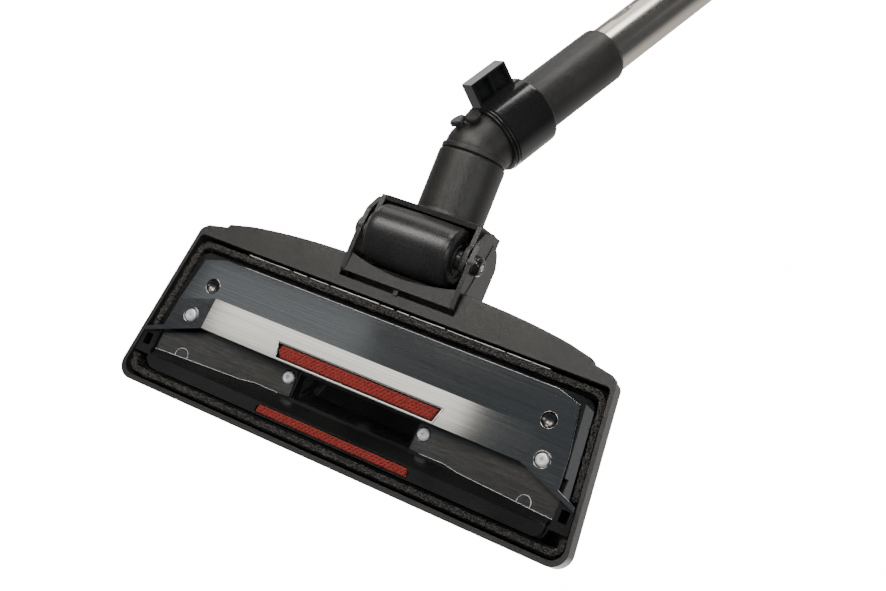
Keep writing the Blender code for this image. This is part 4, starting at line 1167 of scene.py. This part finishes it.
def tube():
    """Steel tube with pressed detents: rounded pockets, each with a small dimple."""
    def pressed(along, r, angle):
        if r < TUBE_R - 0.2:
            return r
        across = ((angle + math.pi) % (2 * math.pi) - math.pi) * TUBE_R
        half = DETENT_LENGTH / 2
        dent = 0.0
        for start in DETENTS:
            run = max(0.0, abs(along - start - half) - (half - DETENT_HALF_WIDTH))
            inside = (DETENT_HALF_WIDTH - math.hypot(run, across)) / 0.9
            dent = max(dent, DETENT_DEPTH * max(0.0, min(1.0, inside)))
            near = math.hypot(along - start - DETENT_LENGTH * 0.72, across)
            dent = max(dent, SPOT_DEPTH * max(0.0, min(1.0, (SPOT_R - near) / 0.8)))
        return r - dent

    step, length = 0.8, TUBE_END - TUBE_START
    rows = round(length / step)
    outer = [(TUBE_START + length * k / rows, TUBE_R) for k in range(rows + 1)]
    body = lathe("steel_tube", outer + [(TUBE_END, 15.0), (TUBE_START, 15.0)], ELBOW, WAND_AXIS, 168, pressed)
    piece(body, "wand", "tube_steel", "tube", smooth=50.0)


# ---- floor and light

def area(name, at, aim, size, power, colour, in_gloss=True):
    """Soft box of size (width, height) in metres, seen in gloss or not."""
    data = bpy.data.lights.new(name, "AREA")
    data.shape = "RECTANGLE"
    data.size, data.size_y = size
    data.energy, data.color = power, colour
    light = bpy.data.objects.new(name, data)
    light.location = at
    light.rotation_mode = "QUATERNION"
    light.rotation_quaternion = (Vector(aim) - Vector(at)).to_track_quat("-Z", "Y")
    light.visible_glossy = in_gloss
    bpy.context.scene.collection.objects.link(light)


def studio_world():
    """Pale overhead, dim and slightly blue all round and below; the camera sees plain white."""
    world = bpy.data.worlds.new("studio")
    bpy.context.scene.world = world
    world.use_nodes = True
    tree = world.node_tree
    new, link = tree.nodes.new, tree.links.new
    background = tree.nodes["Background"]
    coords = new("ShaderNodeTexCoord")
    split = new("ShaderNodeSeparateXYZ")
    ramp = new("ShaderNodeValToRGB")
    low, high = ramp.color_ramp.elements
    low.position, low.color = 0.62, (0.085, 0.095, 0.107, 1)
    high.position, high.color = 0.84, (0.8, 0.78, 0.75, 1)
    remap = new("ShaderNodeMapRange")
    remap.inputs["From Min"].default_value = -1.0
    link(coords.outputs["Generated"], split.inputs[0])
    link(split.outputs["Z"], remap.inputs["Value"])
    link(remap.outputs["Result"], ramp.inputs["Fac"])
    link(ramp.outputs["Color"], background.inputs["Color"])
    backdrop = new("ShaderNodeBackground")
    backdrop.inputs["Strength"].default_value = 20.0
    both = new("ShaderNodeMixShader")
    link(new("ShaderNodeLightPath").outputs["Is Camera Ray"], both.inputs[0])
    link(background.outputs[0], both.inputs[1])
    link(backdrop.outputs[0], both.inputs[2])
    link(both.outputs[0], tree.nodes["World Output"].inputs[0])


def studio_floor():
    bm = bmesh.new()
    bmesh.ops.create_grid(bm, x_segments=1, y_segments=1, size=40.0)
    mesh = bpy.data.meshes.new("floor")
    bm.to_mesh(mesh)
    bm.free()
    floor = bpy.data.objects.new("floor", mesh)
    floor.location = (0.0, 0.0, -1.4)
    bpy.context.scene.collection.objects.link(floor)
    s = Shader("floor")
    s.set(color=s.mix(s.noise(s.coords, 3.0), (0.80, 0.80, 0.79), (0.84, 0.84, 0.83)), rough=0.9)
    s.bsdf.inputs["Emission Color"].default_value = (1.0, 1.0, 0.99, 1.0)
    s.bsdf.inputs["Emission Strength"].default_value = 3.0
    mesh.materials.append(s.mat)
    floor.visible_glossy = False
    floor.visible_diffuse = False


WHITE = (1.0, 1.0, 1.0)
LIGHTS = (
    ("key", (0.4925, 0.28, -0.92), (0.4925, 0.28, 0.0), (0.445, 0.24), 0.76, (1.0, 0.965, 0.91)),
    ("key_core", (0.4925, 0.64, -0.92), (0.4925, 0.64, 0.0), (0.445, 0.46), 6.2, (1.0, 0.965, 0.92)),
    ("rear_strip", (0.05, 1.20, -0.52), (0.0, 0.15, 0.03), (0.42, 0.26), 3.0, (1.0, 0.98, 0.95)),
    ("rear_card", (0.25, 1.25, -0.02), (0.0, 0.1, 0.03), (1.0, 0.56), 3.2, (1.0, 0.97, 0.92)),
    ("field_card", (0.60, 0.02, -0.93), (0.60, 0.02, 0.0), (0.30, 0.20), 0.040, (0.86, 0.93, 1.0)),
    ("tube_card", (-0.70, 0.95, 0.12), (-0.05, 0.25, 0.08), (0.5, 0.5), 0.40, (1.0, 0.93, 0.85)),
    ("tab_card", (0.84, 0.83, 0.24), (0.0, 0.18, 0.03), (0.34, 0.34), 0.8, WHITE),
    ("low_fill", (-0.14, 0.50, -1.0), (0.0, 0.12, 0.0), (0.34, 0.36), 4.2, (1.0, 0.99, 0.96)),
    ("side_card", (-0.95, 0.15, -0.55), (0.0, 0.05, 0.02), (0.35, 0.9), 2.0, (0.97, 0.99, 1.0)),
    ("front_card", (0.48, -1.06, 0.25), (0.0, 0.0, 0.0), (0.5, 0.3), 0.6, WHITE),
    ("soft_fill", (0.0, -0.55, -1.15), (0.0, 0.05, 0.0), (1.2, 1.2), 12.0, (1.0, 0.985, 0.96), False),
    ("top", (0.3, -0.5, 1.5), (0.0, 0.05, 0.0), (1.2, 1.2), 20.0, WHITE),
)


make_camera()
dress_cad()
for name, width in CAD_EDGES.items():
    round_edges(nodes[name], width)

housing()
sole_sheet()
# Bright zinc strips on the sole's rear and right edges are painted highlights; the front strip is in the sole's
# own steel.
edge_line("sole_edge_highlight_rear", [
    (100.0, 12.2, 0.1), (-114.3, 12.2, 0.1), (-128.7, 8.1, 0.1), (-134.0, -20.3, 0.1)])
edge_line("sole_edge_highlight_right", [(-136.0, -39.3, -0.8), (-147.2, -44.0, -0.3)])
edge_line("sole_edge_front", [(108.0, RAMP_BOTTOM_Y, -1.5), (-110.0, RAMP_BOTTOM_Y, -1.5)], "sole_steel")
for tag, side in (("left", 1), ("right", -1)):
    pan_screw("outer_screw_" + tag, "sole_screw_" + tag,
              side * OUTER_SCREW[0], OUTER_SCREW[1], recess_depth=1.9, rim_z=-0.95)
    pan_screw("inner_screw_" + tag, "mouth_screw_" + tag,
              side * INNER_SCREW[0], INNER_SCREW[1], recess_depth=2.4)
    # Bright zinc strip on the channel plate's front edge: painted highlight.
    channel_edge("channel_edge_highlight_" + tag, side)
    # The stamping's bright zinc bead is a painted highlight.
    stamped_ring("stamped_ring_highlight_" + tag, side)
velour_pad("velour_rear", "thread_lifter_rear", rear=(-23.4, 55.0), front=(-30.8, 53.1),
           underside=lambda y: ramp_z(y) - 0.85, top_z=1.1, point=1.9)
velour_pad("velour_front", "thread_lifter_front", rear=(-60.6, 51.2), front=(-65.6, 52.2),
           underside=lambda y: -0.75, top_z=2.1)
ramp_frame()
bristle_strip("bristle_tufts_rear", "bristles_rear", rear=True, count=9000, seed=11)
bristle_strip("bristle_tufts_front", "bristles_front", rear=False, count=6500, seed=23)
# Painted highlight: bright strips standing in for glints behind the rear bristles.
bristle_glint_strips()
pedal_grips()
roller()
axle_fasteners()
yoke()
yoke_tab()
flex_hose()
neck()
elbow()
collar()
sleeve()
tube()
studio_world()
studio_floor()
for light in LIGHTS:
    area(*light)
